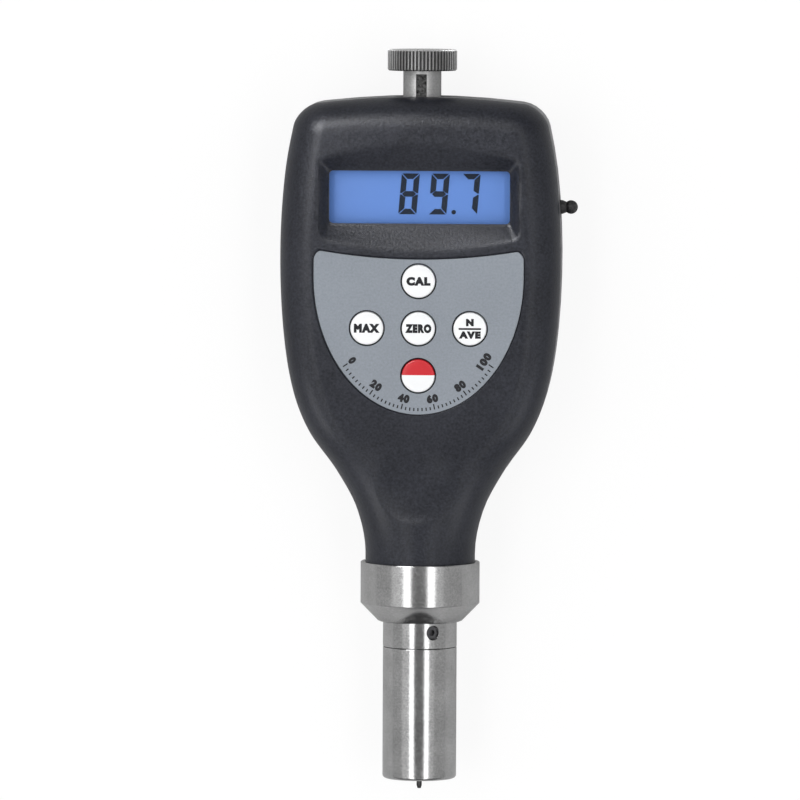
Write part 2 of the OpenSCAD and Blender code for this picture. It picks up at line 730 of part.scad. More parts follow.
plunger_foot = foot_face + foot_end + stack_gap;
core_rod_r = 1;
pin_seat = 5;
module plunger() color("#b8babc") difference() {
    union() {
        tube(plunger_foot, flange_t, foot_bore_r - run_gap, 0);
        along_axis(plunger_foot) cylinder(h = bush_end + bush_len + 0.5 - plunger_foot, r = rod_r);
        along_axis(bush_end + bush_len) cylinder(h = coil_len - 1.5, r = core_rod_r);
    }
    along_axis(plunger_foot - cut) cylinder(h = pin_seat + cut, r = pin_d / 2 + stack_gap / 2);
}
module indenter_pin() color("#77797c") turned(foot_face - travel) polygon([
    [0, 0], [tip_d / 2, 0], [pin_d / 2, (pin_d - tip_d) / 2 / tan(tip_angle / 2)],
    [pin_d / 2, travel + foot_end + pin_seat], [0, travel + foot_end + pin_seat]
]);
spring_nut_t = 2;
spring_low = plunger_foot + flange_t;
spring_high = foot_joint - spigot_len - spring_nut_t - 2 * stack_gap;
module spring_nut() color("silver")
    tube(spring_high + stack_gap, spring_nut_t, foot_bore_r - stack_gap, rod_r + 0.6);
module main_spring() color("#8d9093") along_axis(spring_low + spring_wire_d / 2 + stack_gap)
    wire(coil(spring_d / 2, spring_d / 2, spring_high - spring_low - spring_wire_d - 2 * stack_gap, spring_turns, 14),
        spring_wire_d / 2, 6);

// Displacement sensor in the collar
coil_low = bush_end + bush_len + stack_gap;
coil_len = neck_end + hub_len - coil_low;
bobbin_r = sensor_bore_r - seat_gap;
bobbin_bore_r = 2.5;
bobbin_flange = 0.8;
bobbin_wall = 0.6;
winding_gap = 0.3;
core_gap = 0.5;
core_down = 4;
core_len = 6;
module coil_bobbin() color("ivory") turned(coil_low) polygon([
    [bobbin_bore_r, 0], [bobbin_r, 0], [bobbin_r, bobbin_flange], [bobbin_bore_r + bobbin_wall, bobbin_flange],
    [bobbin_bore_r + bobbin_wall, coil_len - bobbin_flange], [bobbin_r, coil_len - bobbin_flange],
    [bobbin_r, coil_len], [bobbin_bore_r, coil_len]
]);
module coil_winding() color("chocolate")
    tube(coil_low + bobbin_flange + stack_gap, coil_len - 2 * bobbin_flange - 2 * stack_gap,
        bobbin_r - winding_gap, bobbin_bore_r + bobbin_wall + stack_gap);
module sensor_core() color("#333333")
    tube(coil_low + coil_len / 2 - core_down, core_len, bobbin_bore_r - core_gap, core_rod_r + stack_gap / 2);
lead_r = 0.7;
lead_side = 1.2;
lead_over = 1.5;
lead_x = bobbin_bore_r + lead_side;
lead_low = coil_low + coil_len + 3 * stack_gap;
lead_high = lead_over - board_end_down;
lead_drop = board_z - axis_z - lead_r - 2 * stack_gap;
module sensor_lead() color("dimgray") wire([
    for (t = [0:0.2:1])
        [lead_x * (1 - 0.4 * smooth(t)), lead_low + (lead_high - lead_low) * t, axis_z + lead_drop * smooth(1.2 * t)]
], lead_r);

front_shell();
rear_shell();
battery_cover();
case_screws();
display_lens();
lcd_glass();
lcd_backlight();
lcd_connectors();
circuit_board();
board_chips();
board_screws();
key_switches();
keypad_overlay();
key_cal();
key_max();
key_zero();
key_average();
key_power();
battery_1();
battery_2();
battery_3();
battery_4();
battery_springs();
battery_contacts();
data_jack();
dust_plug();
thumb_knob();
thread_insert();
probe_collar();
set_screw();
presser_foot();
guide_bush();
plunger();
indenter_pin();
main_spring();
spring_nut();
coil_bobbin();
coil_winding();
sensor_core();
sensor_lead();
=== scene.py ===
import json
import math

import bpy
from mathutils import Matrix, Vector

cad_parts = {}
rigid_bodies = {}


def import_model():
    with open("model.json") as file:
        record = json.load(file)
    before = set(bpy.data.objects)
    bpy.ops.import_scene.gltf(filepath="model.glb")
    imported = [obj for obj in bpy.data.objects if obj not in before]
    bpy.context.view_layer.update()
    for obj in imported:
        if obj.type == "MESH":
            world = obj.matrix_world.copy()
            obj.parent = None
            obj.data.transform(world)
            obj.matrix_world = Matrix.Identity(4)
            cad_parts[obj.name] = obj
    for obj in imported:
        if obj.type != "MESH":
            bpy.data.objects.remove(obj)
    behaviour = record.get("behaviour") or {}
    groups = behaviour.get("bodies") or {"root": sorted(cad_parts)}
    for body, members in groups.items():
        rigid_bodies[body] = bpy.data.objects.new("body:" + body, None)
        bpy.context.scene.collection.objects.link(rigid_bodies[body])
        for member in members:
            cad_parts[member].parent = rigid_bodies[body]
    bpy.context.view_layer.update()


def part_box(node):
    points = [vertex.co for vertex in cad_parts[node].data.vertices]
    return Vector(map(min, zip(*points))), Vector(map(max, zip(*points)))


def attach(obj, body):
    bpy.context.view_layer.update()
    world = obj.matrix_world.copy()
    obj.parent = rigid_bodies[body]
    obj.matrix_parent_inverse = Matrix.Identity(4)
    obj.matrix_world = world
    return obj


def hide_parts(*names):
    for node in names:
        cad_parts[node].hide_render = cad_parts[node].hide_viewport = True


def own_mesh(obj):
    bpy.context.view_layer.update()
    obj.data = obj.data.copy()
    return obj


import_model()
mm = 0.001
axisZ = 14.2  # height of the probe's axis above the table


# Camera, floor and light

view = {
    "lookAt": (-4.9, -34.0, 14.2),
    "away": 2000.0,
    "towardTop": 3.9,
    "towardRight": 3.0,
    "roll": 0.25,
    "lens": 384.3,
}


def placeCamera():
    target = Vector(view["lookAt"]) * mm
    lean = Vector([math.tan(math.radians(view[side])) for side in ("towardRight", "towardTop")] + [1.0])
    lean.normalize()
    forward = -lean
    right = forward.cross(Vector((0.0, 1.0, 0.0))).normalized()
    up = right.cross(forward)
    turn = Matrix((right, up, lean)).transposed().to_4x4()
    turn = turn @ Matrix.Rotation(math.radians(view["roll"]), 4, "Z")
    lensData = bpy.data.cameras.new("camera")
    lensData.lens = view["lens"]
    lensData.sensor_width = 36.0
    lensData.clip_end = 50.0
    camera = bpy.data.objects.new("camera", lensData)
    camera.matrix_world = Matrix.Translation(target + lean * view["away"] * mm) @ turn
    bpy.context.scene.collection.objects.link(camera)
    bpy.context.scene.camera = camera


studio = {
    "strips": (  # near edge, far edge, height, power
        (-0.33, -0.67, 1.25, 9.2),
        (-0.75, -1.40, 1.20, 2.2),
        (0.39, 0.73, 1.25, 8.6),
        (0.80, 1.25, 1.20, 1.1),
    ),
    "stripLong": 3.2,
    "stripMiddle": -0.02,
    "gloss": {  # lights that only show as a sheen: place, width, length, power
        "overKnob": ((-0.64, 0.82, 1.14), 0.7, 0.45, 14.0),
        "upperLeft": ((-0.060, 0.042, 0.14), 0.04, 0.04, 0.055),
        "topGlow": ((-0.165, 0.25, 0.28), 0.16, 0.16, 2.5),
        "shoulderLeft": ((-1.04, -0.66, 0.50), 0.6, 0.6, 5.0),
        "shoulderRight": ((1.04, -0.66, 0.50), 0.6, 0.6, 3.6),
    },
    "fill": {  # lights that only brighten, without a sheen
        "leftFill": ((-1.25, 0.05, 0.85), 1.0, 1.6, 6.2),
        "rightFill": ((1.25, -0.05, 0.85), 1.0, 1.6, 4.2),
    },
    "shellOnly": ("upperLeft", "topGlow", "shoulderLeft", "shoulderRight"),
    "shellSpared": "overKnob",
    "sky": 0.56,
    "alongRoom": ((0.05, (0.22, 0.22, 0.225)), (0.40, (1.0, 1.0, 1.0)),  # darker toward both ends
                  (0.60, (1.0, 1.0, 1.0)), (0.82, (0.30, 0.30, 0.30))),
    "aboveRoom": ((0.90, (1.0, 1.0, 1.0)), (0.965, (0.48, 0.48, 0.48))),  # dark straight above
    "backdrop": (0.94, 0.94, 0.94),
    "paper": (0.95, 0.95, 0.95),
    "floorTone": 0.57,
    "floorWhite": 0.88,
    "floorSize": 8.0,
    "floorDrop": 0.0002,
}


def addSoftLight(name, place, wide, long, power, turn):
    lamp = bpy.data.lights.new(name, "AREA")
    lamp.shape = "RECTANGLE"
    lamp.size = wide
    lamp.size_y = long
    lamp.energy = power
    soft = bpy.data.objects.new(name, lamp)
    soft.location = place
    soft.rotation_euler = turn
    soft.visible_camera = False
    bpy.context.scene.collection.objects.link(soft)
    return soft


def placeLights():
    for near, far, high, power in studio["strips"]:
        middle = (near + far) / 2
        addSoftLight("strip", (middle, studio["stripMiddle"], high), abs(far - near), studio["stripLong"],
                     power, (0.0, math.atan2(middle, high), 0.0))
    for kind in ("gloss", "fill"):
        for name, (place, wide, long, power) in studio[kind].items():
            turn = Vector(place).to_track_quat("Z", "Y").to_euler()
            soft = addSoftLight(name, place, wide, long, power, turn)
            soft.visible_diffuse = kind == "fill"
            soft.visible_glossy = kind == "gloss"


def makeRoom():
    world = bpy.data.worlds.new("studio")
    bpy.context.scene.world = world
    world.use_nodes = True
    tree = world.node_tree
    axes = splitAxes(tree, tree.nodes.new("ShaderNodeTexCoord").outputs["Generated"])
    along = toneRamp(tree, mathNode(tree, "MULTIPLY_ADD", axes["Y"], 0.5, 0.5), studio["alongRoom"])
    above = toneRamp(tree, axes["Z"], studio["aboveRoom"])
    shade = firstNode(tree, "BACKGROUND")
    tree.links.new(mixColours(tree, 1.0, along, above, "MULTIPLY"), shade.inputs["Color"])
    shade.inputs["Strength"].default_value = studio["sky"]
    paper = tree.nodes.new("ShaderNodeBackground")
    paper.inputs["Color"].default_value = opaque(studio["backdrop"])
    showToLens(tree, shade, paper, "OUTPUT_WORLD")


def deselectAll():
    if bpy.context.object and bpy.context.object.mode != "OBJECT":
        bpy.ops.object.mode_set(mode="OBJECT")
    bpy.ops.object.select_all(action="DESELECT")


def pick(piece):
    deselectAll()
    piece.select_set(True)
    bpy.context.view_layer.objects.active = piece


def openAll(piece):
    pick(piece)
    bpy.ops.object.mode_set(mode="EDIT")
    bpy.ops.mesh.select_all(action="SELECT")


def closeEdit():
    bpy.ops.object.mode_set(mode="OBJECT")


def started(name):
    piece = bpy.context.object
    piece.name = name
    piece.data.name = name
    return piece


def setHere(piece):
    pick(piece)
    bpy.ops.object.transform_apply(location=True, rotation=True, scale=True)


def applyModifier(piece, modifier):
    pick(piece)
    bpy.ops.object.modifier_apply(modifier=modifier.name)


def softenEdges(piece, width, segments=3, angle=30.0):
    soft = piece.modifiers.new("soft", "BEVEL")
    soft.width = width * mm
    soft.segments = segments
    soft.limit_method = "ANGLE"
    soft.angle_limit = math.radians(angle)
    applyModifier(piece, soft)


def cutWith(piece, cutter):
    cut = piece.modifiers.new("cut", "BOOLEAN")
    cut.operation = "DIFFERENCE"
    cut.solver = "EXACT"
    cut.object = cutter
    applyModifier(piece, cut)
    bpy.data.objects.remove(cutter)


def joinPieces(name, parts):
    deselectAll()
    for part in parts:
        part.select_set(True)
    bpy.context.view_layer.objects.active = parts[0]
    if len(parts) > 1:
        bpy.ops.object.join()
    return started(name)


def smoothFaces(piece, angle=32.0):
    pick(piece)
    bpy.ops.object.shade_smooth_by_angle(angle=math.radians(angle))


def faceOutwards(piece, merge=1e-6):
    openAll(piece)
    bpy.ops.mesh.remove_doubles(threshold=merge)
    bpy.ops.mesh.normals_make_consistent(inside=False)
    closeEdit()


def dress(piece, material, body, slotName, *nodes):
    piece.data.materials.clear()
    piece.data.materials.append(material)
    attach(piece, body)
    if nodes:
        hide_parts(*nodes)


def makeFloor():
    deselectAll()
    bpy.ops.mesh.primitive_plane_add(size=studio["floorSize"], location=(0.0, 0.0, -studio["floorDrop"]))
    floor = started("floor")
    setHere(floor)
    tone = studio["floorTone"]
    paper, shader = newMaterial("paperFloor", (tone, tone, tone), 0.9)
    shader.inputs["Specular IOR Level"].default_value = 0.1
    tree = paper.node_tree
    lit = tree.nodes.new("ShaderNodeBsdfDiffuse")  # what the lens sees: bright paper with a faint shadow
    lit.inputs["Color"].default_value = opaque(studio["paper"])
    glow = tree.nodes.new("ShaderNodeEmission")
    bright = tree.nodes.new("ShaderNodeMixShader")
    bright.inputs[0].default_value = studio["floorWhite"]
    tree.links.new(lit.outputs[0], bright.inputs[1])
    tree.links.new(glow.outputs[0], bright.inputs[2])
    showToLens(tree, shader, bright, "OUTPUT_MATERIAL")
    floor.data.materials.append(paper)


# Small helpers for shader trees

def opaque(colour):
    return tuple(colour) + (1.0,)


def firstNode(tree, kind):
    return next(node for node in tree.nodes if node.type == kind)


def objectPlace(tree):
    return tree.nodes.new("ShaderNodeTexCoord").outputs["Object"]


def splitAxes(tree, vector):
    split = tree.nodes.new("ShaderNodeSeparateXYZ")
    tree.links.new(vector, split.inputs[0])
    return split.outputs


def noiseNode(tree, place, scale, detail):
    node = tree.nodes.new("ShaderNodeTexNoise")
    node.inputs["Detail"].default_value = detail
    tree.links.new(place, node.inputs["Vector"])
    if isinstance(scale, float):
        node.inputs["Scale"].default_value = scale
    else:
        tree.links.new(scale, node.inputs["Scale"])
    return node


def fromMiddle(tree, noise):
    return mathNode(tree, "SUBTRACT", noise.outputs[0], 0.5)


def greyOf(tree, value):
    grey = tree.nodes.new("ShaderNodeCombineColor")
    for channel in range(3):
        tree.links.new(value, grey.inputs[channel])
    return grey.outputs[0]


def toneRamp(tree, value, stops):
    ramp = tree.nodes.new("ShaderNodeValToRGB")
    elements = ramp.color_ramp.elements  # a new ramp has two
    for order, (position, colour) in enumerate(stops):
        if order < 2:
            elements[order].position = position
            elements[order].color = opaque(colour)
        else:
            elements.new(position).color = opaque(colour)
    tree.links.new(value, ramp.inputs[0])
    return ramp.outputs[0]


def showToLens(tree, usual, seen, outKind):
    # the lens sees one shader, and every other ray meets the usual one
    path = tree.nodes.new("ShaderNodeLightPath")
    mix = tree.nodes.new("ShaderNodeMixShader")
    tree.links.new(path.outputs["Is Camera Ray"], mix.inputs[0])
    tree.links.new(usual.outputs[0], mix.inputs[1])
    tree.links.new(seen.outputs[0], mix.inputs[2])
    tree.links.new(mix.outputs[0], firstNode(tree, outKind).inputs["Surface"])


def axisDistance(tree, axes):
    # height over the probe's and the knob's axis, and distance from it
    up = mathNode(tree, "SUBTRACT", axes["Z"], axisZ * mm)
    across = mathNode(tree, "MULTIPLY", axes["X"], axes["X"])
    return up, mathNode(tree, "SQRT", mathNode(tree, "MULTIPLY_ADD", up, up, across))


# Shader groups that several finishes share

def newGroup(name, inputs, outputs):
    tree = bpy.data.node_groups.new(name, "ShaderNodeTree")
    for label, kind, value in inputs:
        socket = tree.interface.new_socket(name=label, in_out="INPUT", socket_type=kind)
        socket.default_value = value
    for label, kind in outputs:
        tree.interface.new_socket(name=label, in_out="OUTPUT", socket_type=kind)
    return tree, tree.nodes.new("NodeGroupInput"), tree.nodes.new("NodeGroupOutput")


def mathNode(tree, operation, first, second=None, third=None, clamp=False):
    node = tree.nodes.new("ShaderNodeMath")
    node.operation = operation
    node.use_clamp = clamp
    for place, value in enumerate((first, second, third)):
        if value is None:
            continue
        if isinstance(value, (int, float)):
            node.inputs[place].default_value = value
        else:
            tree.links.new(value, node.inputs[place])
    return node.outputs[0]


def mixColours(tree, share, first, second, how="MIX"):
    node = tree.nodes.new("ShaderNodeMix")
    node.data_type = "RGBA"
    node.blend_type = how
    for place, value in ((0, share), (6, first), (7, second)):
        if isinstance(value, (int, float, tuple)):
            node.inputs[place].default_value = value
        else:
            tree.links.new(value, node.inputs[place])
    return node.outputs[2]


def makeGrainGroup():
    # moulded grain: a fine speckle in colour, roughness and height
    tree, given, put = newGroup(
        "mouldedGrain",
        (("Colour", "NodeSocketColor", (0.1, 0.1, 0.1, 1.0)), ("Scale", "NodeSocketFloat", 3000.0),
         ("Spread", "NodeSocketFloat", 0.15), ("Roughness", "NodeSocketFloat", 0.5)),
        (("Colour", "NodeSocketColor"), ("Roughness", "NodeSocketFloat"), ("Height", "NodeSocketFloat")))
    place = objectPlace(tree)
    fine = noiseNode(tree, place, given.outputs["Scale"], 3.0)
    fine.inputs["Roughness"].default_value = 0.6
    broad = noiseNode(tree, place, 90.0, 2.0)
    both = mathNode(tree, "MULTIPLY_ADD", fromMiddle(tree, broad), 0.35, fromMiddle(tree, fine))
    spread = mathNode(tree, "MULTIPLY", both, given.outputs["Spread"])
    lift = greyOf(tree, mathNode(tree, "MULTIPLY_ADD", spread, 2.0, 1.0))
    tree.links.new(mixColours(tree, 1.0, given.outputs["Colour"], lift, "MULTIPLY"), put.inputs["Colour"])
    rough = mathNode(tree, "MULTIPLY_ADD", both, 0.3, given.outputs["Roughness"], True)
    tree.links.new(rough, put.inputs["Roughness"])
    tree.links.new(fine.outputs[0], put.inputs["Height"])
    return tree


def makeWearGroup():
    # edges that hands have polished, broken up by a noise
    tree, given, put = newGroup(
        "edgeWear",
        (("Radius", "NodeSocketFloat", 0.0006), ("Amount", "NodeSocketFloat", 0.5)),
        (("Mask", "NodeSocketFloat"),))
    rounded = tree.nodes.new("ShaderNodeBevel")
    rounded.samples = 4
    tree.links.new(given.outputs["Radius"], rounded.inputs["Radius"])
    flat = tree.nodes.new("ShaderNodeNewGeometry")
    dot = tree.nodes.new("ShaderNodeVectorMath")
    dot.operation = "DOT_PRODUCT"
    tree.links.new(rounded.outputs[0], dot.inputs[0])
    tree.links.new(flat.outputs["Normal"], dot.inputs[1])
    turned = mathNode(tree, "SUBTRACT", 1.0, dot.outputs["Value"])
    edge = mathNode(tree, "MULTIPLY", turned, 9.0, None, True)
    patch = noiseNode(tree, objectPlace(tree), 420.0, 4.0)
    broken = mathNode(tree, "MULTIPLY_ADD", patch.outputs[0], 2.4, -0.7, True)
    worn = mathNode(tree, "MULTIPLY", edge, broken)
    mask = mathNode(tree, "MULTIPLY", worn, given.outputs["Amount"], None, True)
    tree.links.new(mask, put.inputs["Mask"])
    return tree


def makeTurnedGroup():
    # lathe lines round the probe's axis, which runs along Y
    tree, given, put = newGroup(
        "turnedLines",
        (("Lines", "NodeSocketFloat", 9000.0), ("Roughness", "NodeSocketFloat", 0.2),
         ("Spread", "NodeSocketFloat", 0.1)),
        (("Roughness", "NodeSocketFloat"), ("Height", "NodeSocketFloat"), ("Tone", "NodeSocketFloat")))
    place = objectPlace(tree)
    line = tree.nodes.new("ShaderNodeTexNoise")
    line.noise_dimensions = "1D"
    line.inputs["Detail"].default_value = 3.0
    tree.links.new(splitAxes(tree, place)["Y"], line.inputs["W"])
    tree.links.new(given.outputs["Lines"], line.inputs["Scale"])
    smear = noiseNode(tree, place, 160.0, 5.0)
    speck = noiseNode(tree, place, 2000.0, 2.0)
    both = mathNode(tree, "MULTIPLY", fromMiddle(tree, line), 0.4)
    for noise in (speck, smear):
        both = mathNode(tree, "MULTIPLY_ADD", fromMiddle(tree, noise), 0.7, both)
    rough = mathNode(tree, "MULTIPLY_ADD", both, given.outputs["Spread"], given.outputs["Roughness"], True)
    tree.links.new(rough, put.inputs["Roughness"])
    height = mathNode(tree, "MULTIPLY_ADD", speck.outputs[0], 0.5, line.outputs[0])
    tree.links.new(height, put.inputs["Height"])
    tree.links.new(mathNode(tree, "MULTIPLY_ADD", both, 0.75, 1.0), put.inputs["Tone"])
    return tree


def makeDustGroup():
    # a little dust on faces that look up
    tree, given, put = newGroup(
        "lightDust", (("Amount", "NodeSocketFloat", 0.1),), (("Mask", "NodeSocketFloat"),))
    facing = splitAxes(tree, tree.nodes.new("ShaderNodeNewGeometry").outputs["Normal"])
    speck = noiseNode(tree, objectPlace(tree), 700.0, 6.0)
    settled = mathNode(tree, "MULTIPLY_ADD", speck.outputs[0], 5.0, -2.9, True)
    upward = mathNode(tree, "MULTIPLY", facing["Z"], settled, None, True)
    mask = mathNode(tree, "MULTIPLY", upward, given.outputs["Amount"], None, True)
    tree.links.new(mask, put.inputs["Mask"])
    return tree


def newMaterial(name, colour, roughness, metallic=0.0):
    material = bpy.data.materials.new(name)
    material.use_nodes = True
    shader = firstNode(material.node_tree, "BSDF_PRINCIPLED")
    shader.inputs["Base Color"].default_value = opaque(colour)
    shader.inputs["Roughness"].default_value = roughness
    shader.inputs["Metallic"].default_value = metallic
    material.diffuse_color = opaque(colour)
    return material, shader


def placeGroup(tree, group, **values):
    node = tree.nodes.new("ShaderNodeGroup")
    node.node_tree = group
    for label, value in values.items():
        node.inputs[label].default_value = value
    return node


def bumpInto(tree, shader, height, strength, distance):
    bump = tree.nodes.new("ShaderNodeBump")
    bump.inputs["Strength"].default_value = strength
    bump.inputs["Distance"].default_value = distance * mm
    tree.links.new(height, bump.inputs["Height"])
    tree.links.new(bump.outputs[0], shader.inputs["Normal"])


def mouldedFinish(name, colour, roughness, scale=3000.0, spread=0.15, strength=0.3, distance=0.04,
                  wear=0.0, wearRadius=0.7, wornColour=(0.1, 0.1, 0.1), dust=0.0,
                  dustColour=(0.5, 0.5, 0.48), specular=0.5, rim=0.0):
    material, shader = newMaterial(name, colour, roughness)
    tree = material.node_tree
    grain = placeGroup(tree, groups["grain"], Colour=opaque(colour), Scale=scale, Spread=spread,
                       Roughness=roughness)
    tone = grain.outputs["Colour"]
    if wear > 0.0:
        worn = placeGroup(tree, groups["wear"], Radius=wearRadius * mm, Amount=wear)
        tone = mixColours(tree, worn.outputs["Mask"], tone, opaque(wornColour))
    if dust > 0.0:
        settled = placeGroup(tree, groups["dust"], Amount=dust)
        tone = mixColours(tree, settled.outputs["Mask"], tone, opaque(dustColour))
    if rim > 0.0:  # painted reflection: faces seen at a very flat angle are painted paler, as if they picked up the pale surroundings
        sheenFacing = tree.nodes.new("ShaderNodeLayerWeight")
        flat = mathNode(tree, "MULTIPLY_ADD", sheenFacing.outputs["Facing"], 8.0, -6.9, True)
        tone = mixColours(tree, flat, tone, (rim, rim, rim * 1.04, 1.0))
    tree.links.new(tone, shader.inputs["Base Color"])
    tree.links.new(grain.outputs["Roughness"], shader.inputs["Roughness"])
    shader.inputs["Specular IOR Level"].default_value = specular
    bumpInto(tree, shader, grain.outputs["Height"], strength, distance)
    return material


def turnedFinish(name, colour, roughness, lines=9000.0, spread=0.1, strength=0.12, distance=0.01,
                 wear=0.0, wearRadius=0.35, wornColour=(0.9, 0.9, 0.9)):
    material, shader = newMaterial(name, colour, roughness, 1.0)
    tree = material.node_tree
    turned = placeGroup(tree, groups["turned"], Lines=lines, Roughness=roughness, Spread=spread)
    lift = greyOf(tree, turned.outputs["Tone"])
    tone = mixColours(tree, 1.0, opaque(colour), lift, "MULTIPLY")
    if wear > 0.0:
        worn = placeGroup(tree, groups["wear"], Radius=wearRadius * mm, Amount=wear)
        tone = mixColours(tree, worn.outputs["Mask"], tone, opaque(wornColour))
    tree.links.new(tone, shader.inputs["Base Color"])
    tree.links.new(turned.outputs["Roughness"], shader.inputs["Roughness"])
    bumpInto(tree, shader, turned.outputs["Height"], strength, distance)
    return material


plastics = {
    # the shell's rim value paints a pale reflection on faces seen at a very flat angle
    "shell": {"name": "blackShell", "colour": (0.0190, 0.0205, 0.0275), "roughness": 0.37, "scale": 1700.0,
              "spread": 0.9, "strength": 0.8, "distance": 0.07, "wear": 0.25,
              "wornColour": (0.04, 0.04, 0.045), "specular": 0.21, "rim": 0.26},
    "film": {"name": "greyFilm", "colour": (0.235, 0.260, 0.294), "roughness": 0.5, "scale": 1900.0,
             "spread": 0.22, "strength": 0.3, "distance": 0.03, "specular": 0.35},
    "keyCap": {"name": "whiteKey", "colour": (0.85, 0.86, 0.87), "roughness": 0.38, "scale": 2600.0,
               "spread": 0.02, "strength": 0.08, "distance": 0.02},
    "ink": {"name": "darkInk", "colour": (0.024, 0.024, 0.027), "roughness": 0.6, "spread": 0.1,
            "strength": 0.05, "specular": 0.12},
    "digit": {"name": "displayInk", "colour": (0.022, 0.030, 0.048), "roughness": 0.6, "spread": 0.05,
              "strength": 0.02, "specular": 0.08},
    "rubber": {"name": "blackRubber", "colour": (0.012, 0.012, 0.013), "roughness": 0.55, "spread": 0.2,
               "strength": 0.2, "dust": 0.15},
    "jack": {"name": "socketBlack", "colour": (0.015, 0.015, 0.016), "roughness": 0.4},
    "board": {"name": "greenBoard", "colour": (0.02, 0.11, 0.045), "roughness": 0.4, "scale": 1500.0,
              "spread": 0.25},
    "chip": {"name": "chipBlack", "colour": (0.02, 0.02, 0.021), "roughness": 0.6},
    "diffuser": {"name": "diffuserWhite", "colour": (0.75, 0.77, 0.8), "roughness": 0.5, "spread": 0.03},
    "softGrey": {"name": "softGrey", "colour": (0.22, 0.22, 0.23), "roughness": 0.6},
    "bobbin": {"name": "bobbinPlastic", "colour": (0.05, 0.05, 0.052), "roughness": 0.5},
}

metals = {
    "steel": {"name": "turnedSteel", "colour": (0.43, 0.43, 0.43), "roughness": 0.17, "spread": 0.12,
              "strength": 0.03, "wear": 0.2},
    "pinSteel": {"name": "hardenedPin", "colour": (0.06, 0.06, 0.06), "roughness": 0.3},
    "darkSteel": {"name": "darkSteel", "colour": (0.10, 0.10, 0.105), "roughness": 0.35},
    "screwSteel": {"name": "screwSteel", "colour": (0.50, 0.50, 0.51), "roughness": 0.28, "lines": 4000.0},
    "shaft": {"name": "satinShaft", "colour": (0.44, 0.44, 0.44), "roughness": 0.50, "lines": 6000.0},
    "brass": {"name": "brassInsert", "colour": (0.62, 0.43, 0.17), "roughness": 0.25},
    "copper": {"name": "copperWire", "colour": (0.66, 0.30, 0.16), "roughness": 0.3, "lines": 5200.0},
    "wire": {"name": "springWire", "colour": (0.55, 0.55, 0.56), "roughness": 0.25},
}


def makeMaterials():
    made = {finish: mouldedFinish(**values) for finish, values in plastics.items()}
    made.update({finish: turnedFinish(**values) for finish, values in metals.items()})
    darkenKeyway(made["shaft"])
    made.update({"keyPower": makePowerKeyFinish(), "plate": makeKnurlFinish(), "lcd": makeLcdFinish(),
                 "lens": makeLensFinish(), "wrap": makeWrapFinish()})
    return made


powerFinish = {"red": (0.56, 0.012, 0.020), "roughness": 0.36, "scale": 2600.0, "spread": 0.05, "line": 0.15}


def makePowerKeyFinish():
    # red above the key's middle line, white below it
    material, shader = newMaterial("powerKey", powerFinish["red"], powerFinish["roughness"])
    tree = material.node_tree
    axes = splitAxes(tree, objectPlace(tree))
    above = mathNode(tree, "GREATER_THAN", axes["Y"], (keys["rows"]["power"][1] + powerFinish["line"]) * mm)
    red = placeGroup(tree, groups["grain"], Colour=opaque(powerFinish["red"]), Scale=powerFinish["scale"],
                     Spread=powerFinish["spread"], Roughness=powerFinish["roughness"])
    white = plastics["keyCap"]
    tone = mixColours(tree, above, opaque(white["colour"]), red.outputs["Colour"])
    tree.links.new(tone, shader.inputs["Base Color"])
    tree.links.new(red.outputs["Roughness"], shader.inputs["Roughness"])
    bumpInto(tree, shader, red.outputs["Height"], white["strength"], white["distance"])
    return material


knurlFinish = {
    "ridge": (0.24, 0.24, 0.24),
    "ridgeGrazingSheen": (0.66, 0.66, 0.66),  # painted reflection: paler where it is seen at a flat angle
    # painted shade: the grooves are darker than the ridges, and a little paler where seen at a flat angle
    "groove": (0.07, 0.07, 0.07),
    "grooveGrazingSheen": (0.26, 0.26, 0.26),
    "endFace": (0.62, 0.62, 0.62),
    "grooveFrom": 0.08,  # depths below the knob's radius
    "grooveOver": 0.30,
    "bandTo": 0.85,
    "endDeep": 0.25,
}


def makeKnurlFinish():
    # bright ridges over grooves darkened with painted shade, told apart by their distance from the axis;
    # where seen at a flat angle both are painted paler, a painted reflection
    material, shader = newMaterial("knurledPlate", knurlFinish["ridge"], 0.3, 1.0)
    tree = material.node_tree
    axes = splitAxes(tree, objectPlace(tree))
    out = axisDistance(tree, axes)[1]
    below = mathNode(tree, "SUBTRACT", (knob["radius"] - knurlFinish["grooveFrom"]) * mm, out)
    deep = mathNode(tree, "DIVIDE", below, knurlFinish["grooveOver"] * mm, None, True)
    band = mathNode(tree, "GREATER_THAN", out, (knob["radius"] - knurlFinish["bandTo"]) * mm)
    endFace = mathNode(tree, "GREATER_THAN", axes["Y"], (knob["top"] - knurlFinish["endDeep"]) * mm)
    groove = mathNode(tree, "MULTIPLY", deep, band, None, True)
    groove = mathNode(tree, "MULTIPLY", groove, mathNode(tree, "SUBTRACT", 1.0, endFace))
    turned = placeGroup(tree, groups["turned"], Lines=7000.0, Roughness=0.44, Spread=0.12)
    sheenFacing = tree.nodes.new("ShaderNodeLayerWeight")
    # painted reflection: ridges and grooves turn paler where they are seen at a flat angle
    rim = mathNode(tree, "MULTIPLY_ADD", sheenFacing.outputs["Facing"], 1.5, -0.25, True)
    ridgeWithSheen = mixColours(tree, rim, opaque(knurlFinish["ridge"]), opaque(knurlFinish["ridgeGrazingSheen"]))
    bright = mixColours(tree, 1.0, ridgeWithSheen, greyOf(tree, turned.outputs["Tone"]), "MULTIPLY")
    bright = mixColours(tree, endFace, bright, opaque(knurlFinish["endFace"]))
    shadow = mixColours(tree, rim, opaque(knurlFinish["groove"]), opaque(knurlFinish["grooveGrazingSheen"]))
    tree.links.new(mixColours(tree, groove, bright, shadow), shader.inputs["Base Color"])
    rough = mathNode(tree, "MULTIPLY_ADD", groove, 0.25, turned.outputs["Roughness"], True)
    tree.links.new(rough, shader.inputs["Roughness"])
    bumpInto(tree, shader, turned.outputs["Height"], 0.05, 0.01)
    return material


